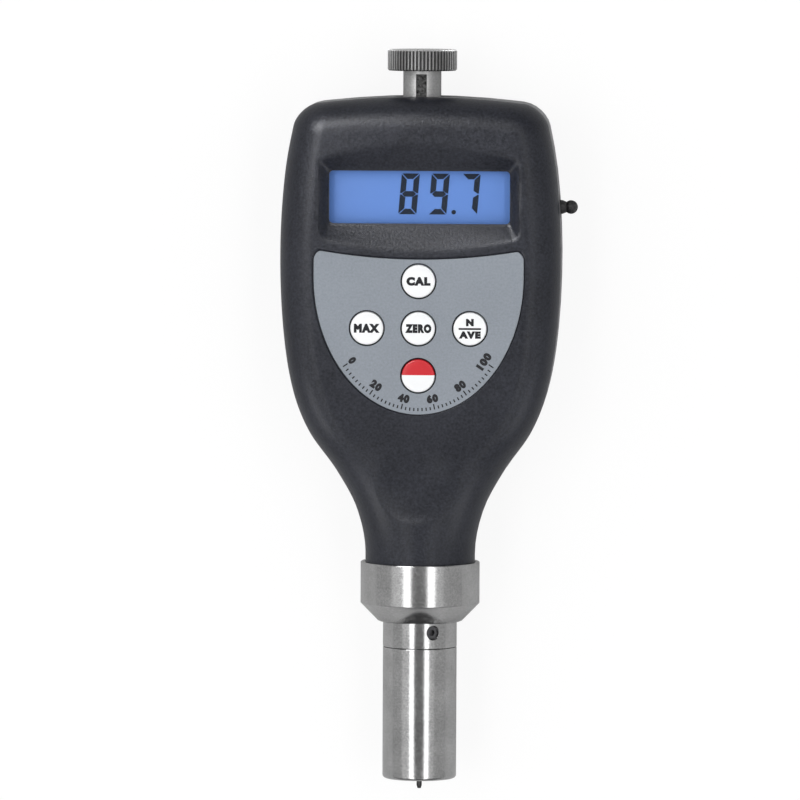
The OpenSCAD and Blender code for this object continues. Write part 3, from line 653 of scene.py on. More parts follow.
def darkenKeyway(material):
    # the satin shaft's keyway stays dark and rough
    tree = material.node_tree
    shader = firstNode(tree, "BSDF_PRINCIPLED")
    tone = shader.inputs["Base Color"].links[0].from_socket
    place = objectPlace(tree)
    up, out = axisDistance(tree, splitAxes(tree, place))
    radius = knob["shaftRadius"]
    inSlot = mathNode(tree, "LESS_THAN", out, (radius - 0.04) * mm)
    onTop = mathNode(tree, "GREATER_THAN", up, (radius - 2 * knob["keywayDeep"]) * mm)
    inSlot = mathNode(tree, "MULTIPLY", inSlot, onTop)
    chips = noiseNode(tree, place, 1500.0, 3.0)
    fleck = mathNode(tree, "MULTIPLY_ADD", chips.outputs[0], 0.24, -0.06, True)
    tree.links.new(mixColours(tree, inSlot, tone, greyOf(tree, fleck)), shader.inputs["Base Color"])


panelFinish = {
    "blue": (0.112, 0.228, 0.57),
    # colour of the painted shadow along the panel's left and top edges
    "edge": (0.062, 0.130, 0.36),
    "rimShadowShare": 0.55,
    "leftShadowPower": 26.0,  # how closely the painted shadow keeps to the window's rim
    "topShadowPower": 14.0,
    "roughness": 0.45,
    "light": 0.3,
}


def makeLcdFinish():
    # blue panel with a painted shadow of the window's rim along its left and top edges, with its own faint
    # light
    material, shader = newMaterial("bluePanel", panelFinish["blue"], panelFinish["roughness"])
    tree = material.node_tree
    axes = splitAxes(tree, objectPlace(tree))
    left = mathNode(tree, "MULTIPLY", axes["X"], -1.0)
    left = mathNode(tree, "DIVIDE", left, recess["windowWide"] / 2 * mm, None, True)
    top = mathNode(tree, "SUBTRACT", axes["Y"], recess["middle"] * mm)
    top = mathNode(tree, "DIVIDE", top, recess["windowHigh"] / 2 * mm, None, True)
    # painted shadow of the window's rim, on the left and top edges only
    edge = mathNode(tree, "MAXIMUM", mathNode(tree, "POWER", left, panelFinish["leftShadowPower"]),
                    mathNode(tree, "POWER", top, panelFinish["topShadowPower"]))
    shade = mathNode(tree, "MULTIPLY", edge, panelFinish["rimShadowShare"], None, True)
    grain = placeGroup(tree, groups["grain"], Colour=opaque(panelFinish["blue"]), Scale=5000.0, Spread=0.04,
                       Roughness=panelFinish["roughness"])
    tone = mixColours(tree, shade, grain.outputs["Colour"], opaque(panelFinish["edge"]))
    tree.links.new(tone, shader.inputs["Base Color"])
    tree.links.new(tone, shader.inputs["Emission Color"])
    shader.inputs["Emission Strength"].default_value = panelFinish["light"]
    tree.links.new(grain.outputs["Roughness"], shader.inputs["Roughness"])
    shader.inputs["Specular IOR Level"].default_value = 0.2
    return material


windowFinish = {"tint": (0.03, 0.035, 0.045), "roughness": 0.06, "alpha": 0.05}


def makeLensFinish():
    # thin clear window: mostly see-through, with a faint gloss
    material, shader = newMaterial("clearWindow", windowFinish["tint"], windowFinish["roughness"])
    tree = material.node_tree
    grain = placeGroup(tree, groups["grain"], Colour=opaque(windowFinish["tint"]), Scale=900.0, Spread=0.02,
                       Roughness=windowFinish["roughness"])
    tree.links.new(grain.outputs["Roughness"], shader.inputs["Roughness"])
    shader.inputs["Alpha"].default_value = windowFinish["alpha"]
    shader.inputs["Specular IOR Level"].default_value = 0.5
    return material


sleeveFinish = {"dark": (0.03, 0.03, 0.034), "band": (0.42, 0.21, 0.09), "roughness": 0.35, "bandFrom": 12.0}


def makeWrapFinish():
    # cell sleeve: dark with a copper-coloured band at one end
    material, shader = newMaterial("cellSleeve", sleeveFinish["dark"], sleeveFinish["roughness"])
    tree = material.node_tree
    axes = splitAxes(tree, objectPlace(tree))
    upper = mathNode(tree, "GREATER_THAN", axes["Y"], sleeveFinish["bandFrom"] * mm)
    grain = placeGroup(tree, groups["grain"], Colour=opaque(sleeveFinish["dark"]), Scale=1200.0, Spread=0.1,
                       Roughness=sleeveFinish["roughness"])
    tone = mixColours(tree, upper, grain.outputs["Colour"], opaque(sleeveFinish["band"]))
    tree.links.new(tone, shader.inputs["Base Color"])
    tree.links.new(grain.outputs["Roughness"], shader.inputs["Roughness"])
    tree.links.new(mathNode(tree, "MULTIPLY", upper, 0.75), shader.inputs["Metallic"])
    return material


# Housing

housing = {
    "width": 65.585,
    "topWidth": 57.6,
    "top": 37.2,
    "neckEnd": -79.3,
    "neckRadius": 12.85,
    "neckStraight": 70.0,
    "shoulder": 45.0,
    "endRound": 5.0,
    "frontRound": 8.0,  # the same end's rounding toward the face
    "softFrom": -38.0,  # below this the flat face and its corners run into one curve
    "softTo": -60.0,
    "archRadius": 195.0,
    "frontForm": (13.8, 8.0, 9.0),  # height, then the corner's width and height
    "wall": 1.35,
    "facesAcross": 168,
    "facesAlong": 196,
    "facesOverEnd": 18,
    "facesDownEnd": 14,
    "seamIn": 0.16,
    "seamLeast": 0.3,
    "shoulderPoints": ((0.0, 0.0), (0.15, 0.1), (0.28, 0.34), (0.41, 0.655), (0.55, 0.845), (0.75, 0.96),
                       (1.0, 1.0)),
    "least": 0.6,  # smallest flat, corner width and corner height of a section
    "softPower": (2.0, 1.1),  # the soft curve is a circle at the neck and grows squarer
    "faceFrom": 6.0,  # recess and dimple reach only what lies this far over the seam
}

recess = {
    "middle": 14.0,
    "windowWide": 42.1,
    "windowHigh": 12.3,
    "depth": 2.6,
    "wide": 46.6,
    "up": 12.3,
    "upRadius": 80.0,
    "down": 12.4,
    "downRadius": 95.0,
    "cornerPower": 4.5,
    "edgeSoft": 0.10,  # rounds the outer edge
    "edgeDrop": 0.02,
    "dropFrom": 0.8,
    "reach": 1.25,
    "leastSlope": 0.5,
}

dimple = {
    "y": -52.4,
    "radius": 10.0,
    "depth": 1.15,
    "edge": 3.4,
    "soft": 0.12,
    "reach": 1.25,
    "firm": (0.5, 0.6),  # how firm the rim is at the middle, and how fast that fades upward
}

pad = {
    "halfWide": 24.6,
    "high": 32.2,
    "low": -4.4,
    "topCorner": 2.0,
    "topSag": 2.2,
    "corner": 2.3,
    "pocketFloor": 27.2,
    "sheetBottom": 27.25,
    "sheetTop": 27.85,
    "gap": 0.16,
    "flare": 0.35,
    "flareFrom": 27.7,
    "flareTo": 28.02,
    "flareOn": 1.5,
    "cornerDrop": 0.12,
    "edge": 0.1,
}

keys = {
    "rows": {"cal": (0.0, -5.4), "max": (-12.0, -16.4), "zero": (0.0, -16.4), "average": (12.0, -16.4),
             "power": (0.0, -27.4)},
    "holeRadius": 4.0,
    "sheetHole": 4.2,
    "capRadius": 3.85,
    "top": 28.11,
    "bottom": 24.0,
    "crown": 0.10,
    "crownPower": 6,
    "crownSteps": 8,
    "rim": 0.42,
    "rimSteps": 6,
    "taper": 0.02,
}

openings = {  # what is cut through the front shell and the sheet
    "from": 20.0,
    "to": 30.0,
    "sheetFrom": 26.0,
    "windowCorner": 1.0,
    "socketRadius": 2.75,
    "socketSide": 32.4,
    "socketReach": 5.0,
    "shaftRadius": 4.6,
    "shaftReach": 6.0,
    "shaftFlare": (5.6, -0.75, 0.25),  # outer radius, then from and to over the end face
}


def easeInOut(t):
    t = min(max(t, 0.0), 1.0)
    return t * t * (3.0 - 2.0 * t)


def shoulderShare(t):
    points = housing["shoulderPoints"]
    t = min(max(t, 0.0), 1.0)
    last = len(points) - 2
    here = next(step for step in range(last + 1) if t <= points[step + 1][0] or step == last)

    def slope(step):
        if step == 0 or step == last + 1:
            return 0.0
        before, after = points[step - 1], points[step + 1]
        return (after[1] - before[1]) / (after[0] - before[0])

    (t0, v0), (t1, v1) = points[here], points[here + 1]
    span = t1 - t0
    u = (t - t0) / span
    return ((2 * u ** 3 - 3 * u ** 2 + 1) * v0 + (u ** 3 - 2 * u ** 2 + u) * span * slope(here)
            + (3 * u ** 2 - 2 * u ** 3) * v1 + (u ** 3 - u ** 2) * span * slope(here + 1))


def halfWidth(y):
    if y >= 0.0:
        return housing["width"] / 2 - (housing["width"] - housing["topWidth"]) / 2 * (y / housing["top"]) ** 2
    neck = housing["neckRadius"]
    return neck + (housing["width"] / 2 - neck) * shoulderShare(1.0 + y / housing["neckStraight"])


def fromNeck(value, y):
    neck = housing["neckRadius"]
    return neck + (value - neck) * easeInOut((y + housing["neckStraight"]) / housing["shoulder"])


def frontInset(y):
    radius = housing["frontRound"]
    past = min(max(y - housing["top"] + radius, 0.0), radius)
    return radius - math.sqrt(radius * radius - past * past)


def sectionPoint(y, inset, share):
    # share runs from -1 at one seam over the front, 0, to 1 at the other seam
    form = housing["frontForm"]
    wide = halfWidth(y) - inset
    lower = frontInset(y)
    high = fromNeck(form[0], y) - lower
    least = housing["least"]
    flat = max(least, wide - max(fromNeck(form[1], y) - inset, least))
    rise = min(high, max(fromNeck(form[2], y) - lower, least))
    sideLong = high - rise
    cornerLong = math.pi / 2 * math.sqrt(((wide - flat) ** 2 + rise ** 2) / 2)
    run = (1.0 - abs(share)) * (sideLong + cornerLong + flat)
    if run <= sideLong:
        x, z = wide, run
    elif run <= sideLong + cornerLong:
        angle = math.pi / 2 * (run - sideLong) / cornerLong
        x, z = flat + (wide - flat) * math.cos(angle), high - rise + rise * math.sin(angle)
    else:
        x, z = flat - (run - sideLong - cornerLong), high
    soft = easeInOut((housing["softFrom"] - y) / (housing["softFrom"] - housing["softTo"]))
    if soft > 0.0:
        circle, squarer = housing["softPower"]
        power = circle + squarer * easeInOut((y + housing["neckStraight"]) / housing["shoulder"])
        angle = math.pi / 2 * (1.0 - abs(share))
        curveX = wide * math.cos(angle) ** (2.0 / power)
        curveZ = high * math.sin(angle) ** (2.0 / power)
        x, z = x + (curveX - x) * soft, z + (curveZ - z) * soft
    return math.copysign(x, share), z


def recessDepth(x, y):
    # sloped walls from the housing's face down to the window's edge
    windowX, windowY = recess["windowWide"] / 2, recess["windowHigh"] / 2

    def past(away, edge, radius):  # 0 at the window's rim, 1 at the recess's curved outer edge
        sag = radius - math.sqrt(max(radius ** 2 - x * x, 1.0))
        return (away - windowY) / max(edge - sag - windowY, recess["leastSlope"])

    walls = ((abs(x) - windowX) / (recess["wide"] / 2 - windowX),
             past(y - recess["middle"], recess["up"], recess["upRadius"]),
             past(recess["middle"] - y, recess["down"], recess["downRadius"]))
    power = recess["cornerPower"]
    out = sum(max(wall, 0.0) ** power for wall in walls) ** (1.0 / power)
    if out >= recess["reach"]:
        return 0.0
    ramp = 1.0 - out
    ramp = (ramp + math.hypot(ramp, recess["edgeSoft"])) / 2
    fade = (out - recess["dropFrom"]) / (recess["reach"] - recess["dropFrom"])
    ramp = ramp - recess["edgeDrop"] * min(max(fade, 0.0), 1.0)
    return recess["depth"] * min(max(ramp, 0.0), 1.0)


def softLower(first, second, soft):
    gap = max(soft - abs(first - second), 0.0) / soft
    return min(first, second) - gap * gap * soft / 4


def dimpleDepth(x, y):
    # a thumb rest that is firm at its lower rim and fades out at its upper one
    up = (y - dimple["y"]) / dimple["radius"]
    away = math.hypot(x / dimple["radius"], up)
    if away > dimple["reach"]:
        return 0.0
    atMiddle, fade = dimple["firm"]
    firm = easeInOut(atMiddle - up * fade)
    bowl = (1.0 - away * away) * abs(1.0 - away * away)
    sink = dimple["depth"] * (firm * (1.0 - away ** dimple["edge"]) + (1.0 - firm) * bowl)
    return -softLower(0.0, -sink, dimple["soft"])


def frontPoint(u, v):
    facesAlong, facesOver = housing["facesAlong"], housing["facesOverEnd"]
    facesDown = housing["facesDownEnd"]
    step = (v + 1.0) / 2 * (facesAlong + facesOver + facesDown)
    straight = housing["top"] - housing["endRound"]
    drop, inset, lean = 1.0, 0.0, (1.0, 0.0)
    if step <= facesAlong:
        y = housing["neckEnd"] + (straight - housing["neckEnd"]) * step / facesAlong
    elif step <= facesAlong + facesOver:
        angle = math.pi / 2 * (step - facesAlong) / facesOver
        y = straight + housing["endRound"] * math.sin(angle)
        inset = housing["endRound"] * (1.0 - math.cos(angle))
        lean = (math.cos(angle), math.sin(angle))
    else:
        y = housing["top"]
        inset = housing["endRound"]
        lean = (0.0, 1.0)
        drop = 1.0 - (step - facesAlong - facesOver) / facesDown
    x, z = sectionPoint(y, inset, u)
    x = x * drop + u * (halfWidth(y) - inset) * (1.0 - drop)  # the end face fans out to its straight seam
    z = z * drop
    face = axisZ + z
    if z > housing["faceFrom"] and y < straight:
        face = face - recessDepth(x, y) - dimpleDepth(x, y)
    if z < 1e-4:  # the seam's small rebate
        y = y - housing["seamIn"] * lean[1]
        if abs(u) > 0.9999:
            x = x - math.copysign(housing["seamIn"] * max(lean[0], housing["seamLeast"]), x)
    half = housing["top"] / 2
    y = y - x * x / (2 * housing["archRadius"]) * easeInOut((y - half) / half)
    return x * mm, y * mm, face * mm


def padOutline(grow, count=320):
    # lower half of an ellipse under a shallow arched top edge with rounded corners
    halfWide, high, low = pad["halfWide"] + grow, pad["high"] + grow, pad["low"]
    top = pad["topCorner"] + grow
    bowSteps, sideSteps, topSteps = count * 6, 200, count * 4  # far more points than are kept
    points = []
    for step in range(bowSteps):
        angle = math.pi + math.pi * step / (bowSteps - 1)
        points.append((halfWide * math.cos(angle), low + high * math.sin(angle)))
    side = [(halfWide, low + (top - low) * (step + 1) / sideSteps) for step in range(sideSteps)]
    points += side
    for step in range(topSteps):
        x = halfWide - 2 * halfWide * (step + 1) / (topSteps + 1)
        points.append((x, top - pad["topSag"] * (1.0 - (x / halfWide) ** 2)))
    points += [(-x, y) for x, y in reversed(side)]
    return evenPoints(roundCorners(points, pad["corner"]), count)


def roundCorners(points, radius):
    # slides the points near each of the two top corners onto an arc
    made = []
    top = max(point[1] for point in points)
    side = max(point[0] for point in points)
    for x, y in points:
        cornerX, cornerY = side - radius, top - radius - pad["cornerDrop"]
        if abs(x) > cornerX and y > cornerY:
            out = Vector((abs(x) - cornerX, y - cornerY))
            if out.length > radius:
                out = out.normalized() * radius
            x, y = math.copysign(cornerX + out.x, x), cornerY + out.y
        made.append((x, y))
    return made


def evenPoints(points, count):
    closed = points + [points[0]]
    runs = [0.0]
    for (x0, y0), (x1, y1) in zip(closed, closed[1:]):
        runs.append(runs[-1] + math.hypot(x1 - x0, y1 - y0))
    made, place = [], 0
    for step in range(count):
        want = runs[-1] * step / count
        while runs[place + 1] < want:
            place += 1
        span = max(runs[place + 1] - runs[place], 1e-9)
        share = (want - runs[place]) / span
        (x0, y0), (x1, y1) = closed[place], closed[place + 1]
        made.append((x0 + (x1 - x0) * share, y0 + (y1 - y0) * share))
    return made


def slabFrom(name, outline, bottom, top):
    # a filled ring laid on the outline, then drawn up to its thickness
    deselectAll()
    bpy.ops.mesh.primitive_circle_add(vertices=len(outline), radius=mm, fill_type="NGON")
    slab = started(name)
    for vertex, (x, y) in zip(slab.data.vertices, outline):
        vertex.co = (x * mm, y * mm, bottom * mm)
    openAll(slab)
    bpy.ops.mesh.extrude_region_move(TRANSFORM_OT_translate={"value": (0.0, 0.0, (top - bottom) * mm)})
    closeEdit()
    faceOutwards(slab)
    return slab


def openChosen(piece, kind, wanted):
    # opens the piece with only the wanted faces or edges chosen
    openAll(piece)
    bpy.ops.mesh.select_all(action="DESELECT")
    closeEdit()
    for part in piece.data.polygons if kind == "FACE" else piece.data.edges:
        part.select = wanted(part)
    pick(piece)
    bpy.ops.object.mode_set(mode="EDIT")
    bpy.ops.mesh.select_mode(type=kind)


def closeChosen():
    bpy.ops.mesh.select_mode(type="VERT")
    closeEdit()


def flareUp(slab, outline, bottom, top):
    # draws the slab's top face up and out to a wider outline, then straight on
    for rise in (top - bottom, pad["flareOn"]):
        high = max(vertex.co.z for vertex in slab.data.vertices)
        openChosen(slab, "FACE", lambda face: face.normal.z > 0.9 and face.center.z > high - 1e-6)
        bpy.ops.mesh.extrude_region_move(TRANSFORM_OT_translate={"value": (0.0, 0.0, rise * mm)})
        closeChosen()
        for vertex in slab.data.vertices:
            if vertex.co.z > high + rise * mm - 1e-6:
                here = vertex.co.xy
                vertex.co.xy = min((Vector(spot) * mm for spot in outline),
                                   key=lambda spot: (spot - here).length_squared)
    faceOutwards(slab)


def blockFrom(name, low, high, corner=0.0):
    deselectAll()
    centre = [(low[axis] + high[axis]) / 2 * mm for axis in range(3)]
    bpy.ops.mesh.primitive_cube_add(size=1.0, location=centre)
    block = started(name)
    block.scale = [(high[axis] - low[axis]) * mm for axis in range(3)]
    setHere(block)
    if corner > 0.0:
        spots = block.data.vertices
        openChosen(block, "EDGE", lambda edge: abs(
            spots[edge.vertices[0]].co.z - spots[edge.vertices[1]].co.z) > 1e-5)
        bpy.ops.mesh.bevel(offset=corner * mm, segments=6, affect="EDGES")
        closeChosen()
    return block


def rodFrom(name, radius, bottom, top, place, sides=64, topRadius=None):
    deselectAll()
    bpy.ops.mesh.primitive_cone_add(
        vertices=sides, radius1=radius * mm, radius2=(radius if topRadius is None else topRadius) * mm,
        depth=(top - bottom) * mm, location=(place[0] * mm, place[1] * mm, (bottom + top) / 2 * mm))
    rod = started(name)
    setHere(rod)
    return rod


def layAlong(piece, axis, centre):
    # tips an upright piece over about a point, so that its up becomes the axis
    turn = Vector((0.0, 0.0, 1.0)).rotation_difference(Vector(axis)).to_matrix().to_4x4()
    middle = Matrix.Translation(Vector(centre) * mm)
    piece.data.transform(middle @ turn)
    piece.data.update()


def shellCutters():
    # window, keypad pocket, socket and shaft hole, then the key holes and the flare of the shaft hole
    low, high = openings["from"], openings["to"]
    windowX, windowY = recess["windowWide"] / 2, recess["windowHigh"] / 2
    window = blockFrom("windowCutter", (-windowX, recess["middle"] - windowY, low),
                       (windowX, recess["middle"] + windowY, high), openings["windowCorner"])
    pocket = slabFrom("pocketCutter", padOutline(0.0), pad["pocketFloor"], pad["flareFrom"])
    flareUp(pocket, padOutline(pad["flare"]), pad["flareFrom"], pad["flareTo"])
    reach = openings["socketReach"]
    socket = rodFrom("socketCutter", openings["socketRadius"], -reach, reach, (0.0, 0.0))
    layAlong(socket, (1.0, 0.0, 0.0), (openings["socketSide"], plug["y"], axisZ))
    radius, reach = openings["shaftRadius"], openings["shaftReach"]
    shaft = rodFrom("shaftCutter", radius, -reach, reach, (0.0, 0.0), 96)
    layAlong(shaft, (0.0, 1.0, 0.0), (0.0, housing["top"], axisZ))
    yield joinPieces("firstCutter", [window, pocket, socket, shaft])
    holes = [rodFrom("keyCutter", keys["holeRadius"], low, high, place) for place in keys["rows"].values()]
    wide, flareFrom, flareTo = openings["shaftFlare"]
    flare = rodFrom("flareCutter", radius, flareFrom, flareTo, (0.0, 0.0), 96, wide)
    layAlong(flare, (0.0, 1.0, 0.0), (0.0, housing["top"], axisZ))
    yield joinPieces("secondCutter", holes + [flare])


def linkShellLights(shell):
    # some lights are for the front shell alone, and the knob's light leaves it out
    lit = bpy.data.collections.new("shellLit")
    lit.objects.link(shell)
    for name in studio["shellOnly"]:
        bpy.data.objects[name].light_linking.receiver_collection = lit
    spared = bpy.data.collections.new("shellSpared")
    spared.objects.link(shell)
    spared.collection_objects[0].light_linking.link_state = "EXCLUDE"
    bpy.data.objects[studio["shellSpared"]].light_linking.receiver_collection = spared


def makeFrontShell():
    deselectAll()
    facesV = housing["facesAlong"] + housing["facesOverEnd"] + housing["facesDownEnd"]
    bpy.ops.mesh.primitive_grid_add(x_subdivisions=housing["facesAcross"], y_subdivisions=facesV, size=2.0)
    shell = started("frontShell")
    for vertex in shell.data.vertices:
        vertex.co = frontPoint(vertex.co.x, vertex.co.y)
    openAll(shell)
    bpy.ops.mesh.remove_doubles(threshold=1e-6)
    bpy.ops.mesh.dissolve_degenerate(threshold=1e-7)
    closeEdit()
    middle = Vector((0.0, 0.0, axisZ + housing["frontForm"][0])) * mm
    centre = min(shell.data.polygons, key=lambda face: (face.center - middle).length)
    if centre.normal.z < 0.0:
        openAll(shell)
        bpy.ops.mesh.flip_normals()
        closeEdit()
    wall = shell.modifiers.new("wall", "SOLIDIFY")
    wall.thickness = housing["wall"] * mm
    wall.offset = -1.0
    wall.use_even_offset = False
    applyModifier(shell, wall)
    for cutter in shellCutters():
        cutWith(shell, cutter)
    smoothFaces(shell, 30.0)
    dress(shell, looks["shell"], "case", "black_shell", "front_shell")
    linkShellLights(shell)
    print("front shell:", len(shell.data.polygons), "faces")


def copyNode(name, node, angle=30.0):
    # a merged copy of a solid, so that its round faces can shade smoothly
    source = bpy.data.objects[node]
    pick(source)
    bpy.ops.object.duplicate(linked=False)
    piece = started(name)
    openAll(piece)
    bpy.ops.mesh.remove_doubles(threshold=2e-6)
    closeEdit()
    smoothFaces(piece, angle)
    return piece


def turnPiece(name, profile, steps=128, centre=(0.0, 0.0, axisZ), axis=(0.0, 1.0, 0.0)):
    # the profile is a list of (along the axis, radius), drawn point by point and spun
    along = Vector(axis)
    out = Vector((0.0, 0.0, 1.0)) if abs(along.z) < 0.5 else Vector((1.0, 0.0, 0.0))
    spots = [(Vector(centre) + along * run + out * radius) * mm for run, radius in profile]
    deselectAll()
    bpy.ops.mesh.primitive_plane_add(size=mm)
    piece = started(name)
    openAll(piece)
    bpy.ops.mesh.merge(type="CENTER")
    bpy.ops.transform.translate(value=spots[0])
    for before, after in zip(spots, spots[1:]):
        bpy.ops.mesh.extrude_vertices_move(TRANSFORM_OT_translate={"value": after - before})
    bpy.ops.mesh.select_all(action="SELECT")
    bpy.ops.mesh.spin(steps=steps, angle=2 * math.pi, center=Vector(centre) * mm, axis=along)
    closeEdit()
    faceOutwards(piece)
    return piece


def roundedProfile(points, radii, steps=5):
    # replaces each named corner of a profile by an arc
    made = []
    for place, point in enumerate(points):
        radius = radii.get(place, 0.0)
        if radius <= 0.0:
            made.append(point)
            continue
        here = Vector(point)
        before = (Vector(points[place - 1]) - here).normalized()
        after = (Vector(points[place + 1]) - here).normalized()
        half = before.angle(after) / 2
        reach = radius / math.tan(half)
        middle = here + (before + after).normalized() * (radius / math.sin(half))
        first, last = here + before * reach - middle, here + after * reach - middle
        sweep = first.angle_signed(last)
        for step in range(steps + 1):
            angle = -sweep * step / steps
            made.append(tuple(middle + Vector((first.x * math.cos(angle) - first.y * math.sin(angle),
                                               first.x * math.sin(angle) + first.y * math.cos(angle)))))
    return made


# Keypad, keys and display

legends = {
    "cal": ("CAL", 2.05, 5.6),
    "max": ("MAX", 2.1, 6.0),
    "zero": ("ZERO", 2.1, 6.1),
    "upper": ("N", 1.72, 1.8),
    "lower": ("AVE", 1.72, 5.1),
    "spacing": 1.24,
    "weight": 0.088,
    "lift": 0.02,
    "proud": 0.012,
    "upperRise": 1.5,
    "lowerDrop": 1.4,
    "bar": (5.2, 0.42),
}


def makeWords(name, words, capHigh, wide, place, top):
    # generic lettering: font outline, made a mesh, then scaled to its size and laid on its surface
    deselectAll()
    bpy.ops.object.text_add()
    piece = bpy.context.object
    piece.name = name
    piece.data.body = words
    piece.data.size = 1.0
    piece.data.bevel_depth = legends["weight"]  # a thick rounded stroke
    piece.data.bevel_resolution = 1
    piece.data.resolution_u = 4
    piece.data.space_character = legends["spacing"]
    bpy.ops.object.convert(target="MESH")
    piece = started(name)
    low = [min(vertex.co[axis] for vertex in piece.data.vertices) for axis in range(2)]
    high = [max(vertex.co[axis] for vertex in piece.data.vertices) for axis in range(2)]
    for vertex in piece.data.vertices:
        x = (vertex.co.x - (low[0] + high[0]) / 2) / (high[0] - low[0]) * wide
        y = (vertex.co.y - (low[1] + high[1]) / 2) / (high[1] - low[1]) * capHigh
        z = top + (vertex.co.z / legends["weight"] + 1.0) / 2 * legends["lift"]
        vertex.co = ((x + place[0]) * mm, (y + place[1]) * mm, z * mm)
    return piece


def crownAt(away):
    # height of the cap's slightly crowned top at a distance from its middle
    flat = keys["capRadius"] - keys["rim"]
    return keys["top"] - keys["crown"] * (min(away, flat) / flat) ** keys["crownPower"]


def keyProfile():
    radius, rim = keys["capRadius"], keys["rim"]
    shoulder = keys["top"] - keys["crown"] - rim
    profile = [(keys["bottom"], 0.0), (keys["bottom"], radius - keys["taper"]), (shoulder, radius)]
    for step in range(1, keys["rimSteps"] + 1):  # rounded rim
        angle = math.pi / 2 * step / keys["rimSteps"]
        profile.append((shoulder + rim * math.sin(angle), radius - rim * (1.0 - math.cos(angle))))
    for step in range(1, keys["crownSteps"] + 1):
        away = (radius - rim) * (1.0 - step / keys["crownSteps"])
        profile.append((crownAt(away), away))
    return profile


def finishLegend(label, parts):
    # joined, laid on the key's crown and inked
    piece = joinPieces(label + "Legend", parts)
    x, y = keys["rows"][label]
    for vertex in piece.data.vertices:
        away = math.hypot(vertex.co.x / mm - x, vertex.co.y / mm - y)
        vertex.co.z += (crownAt(away) - keys["top"] + legends["proud"]) * mm
    dress(piece, looks["ink"], label + "_key", "key_white")


def makeKeys():
    model = turnPiece("keyModel", keyProfile(), 96, (0.0, 0.0, 0.0), (0.0, 0.0, 1.0))
    for label, (x, y) in keys["rows"].items():
        pick(model)
        bpy.ops.object.duplicate(linked=False)
        cap = started(label + "Cap")
        openAll(cap)
        bpy.ops.transform.translate(value=(x * mm, y * mm, 0.0))
        closeEdit()
        smoothFaces(cap, 40.0)
        finish, slotName = ("keyPower", "key_power") if label == "power" else ("keyCap", "key_white")
        dress(cap, looks[finish], label + "_key", slotName, "key_" + label)
    bpy.data.objects.remove(model)
    top = keys["top"]
    for label in ("cal", "max", "zero"):
        finishLegend(label, [makeWords(label + "Legend", *legends[label], keys["rows"][label], top)])
    x, y = keys["rows"]["average"]
    upper = makeWords("averageUpper", *legends["upper"], (x, y + legends["upperRise"]), top)
    lower = makeWords("averageLower", *legends["lower"], (x, y - legends["lowerDrop"]), top)
    halfWide, halfHigh = (size / 2 for size in legends["bar"])
    bar = blockFrom("averageBar", (x - halfWide, y - halfHigh, top),
                    (x + halfWide, y + halfHigh, top + legends["lift"]))
    openAll(bar)
    bpy.ops.mesh.subdivide(number_cuts=6)
    closeEdit()
    finishLegend("average", [upper, lower, bar])
    print("keys and legends")


numberArc = {
    "marks": 41,
    "markStep": 8,
    "from": 222.0,
    "to": 318.0,
    "longMark": 1.3,
    "shortMark": 0.75,
    "markWide": 0.30,
    "markThick": 0.012,
    "markInset": 0.95,
    "sink": 0.004,
    "numbers": ("0", "20", "40", "60", "80", "100"),
    "numberInset": 3.55,
    "high": 2.0,
    "digitWide": 1.25,
    "digitGap": 0.2,
}


def layOnArc(piece, share, inward, facing):
    # moves a small upright piece to the sheet's curved edge, with its head outward or inward
    turn = math.radians(numberArc["from"] + (numberArc["to"] - numberArc["from"]) * share)
    halfWide, high = pad["halfWide"], pad["high"]
    out = Vector((math.cos(turn) / halfWide, math.sin(turn) / high)).normalized()
    spot = Vector((halfWide * math.cos(turn), pad["low"] + high * math.sin(turn))) - out * inward
    upright = Matrix.Rotation(math.atan2(facing * out.y, facing * out.x) - math.pi / 2, 4, "Z")
    piece.data.transform(Matrix.Translation((spot.x * mm, spot.y * mm, 0.0)) @ upright)
    return piece


def makeKeypadSheet():
    sheet = slabFrom("keypadSheet", padOutline(-pad["gap"]), pad["sheetBottom"], pad["sheetTop"])
    holes = [rodFrom("sheetCutter", keys["sheetHole"], openings["sheetFrom"], openings["to"], place)
             for place in keys["rows"].values()]
    cutWith(sheet, joinPieces("sheetCutters", holes))
    softenEdges(sheet, pad["edge"], 2, 50.0)
    smoothFaces(sheet, 12.0)
    dress(sheet, looks["film"], "case", "pad_grey", "keypad_overlay")
    top, half, parts = pad["sheetTop"] - numberArc["sink"], numberArc["markWide"] / 2, []
    for step in range(numberArc["marks"]):
        long = numberArc["shortMark"] if step % numberArc["markStep"] else numberArc["longMark"]
        mark = blockFrom("mark", (-half, -long, top), (half, 0.0, top + numberArc["markThick"]))
        parts.append(layOnArc(mark, step / (numberArc["marks"] - 1), numberArc["markInset"], 1.0))
    for step, words in enumerate(numberArc["numbers"]):
        wide = numberArc["digitWide"] * len(words) + numberArc["digitGap"] * (len(words) - 1)
        number = makeWords("number", words, numberArc["high"], wide, (0.0, 0.0), top)
        share = step / (len(numberArc["numbers"]) - 1)
        parts.append(layOnArc(number, share, numberArc["numberInset"], -1.0))
    printed = joinPieces("numberScale", parts)
    dress(printed, looks["ink"], "case", "pad_grey")
    print("keypad sheet")


display = {
    "panelTop": 22.7,
    "inkZ": 22.82,
    "inkThick": 0.02,
    "digitHigh": 9.5,
    "digitWide": 4.2,
    "bar": 1.28,
    "gap": 0.16,
    "midInset": 0.3,
    "tip": 0.32,
    "slant": 4.8,
    "places": ((-2.55, "8"), (4.45, "9"), (11.6, "7")),
    "middle": 14.7,
    "dot": (7.88, 10.5, 0.52),
}

segmentsOf = {"8": "abcdefg", "9": "abcdfg", "7": "abc"}


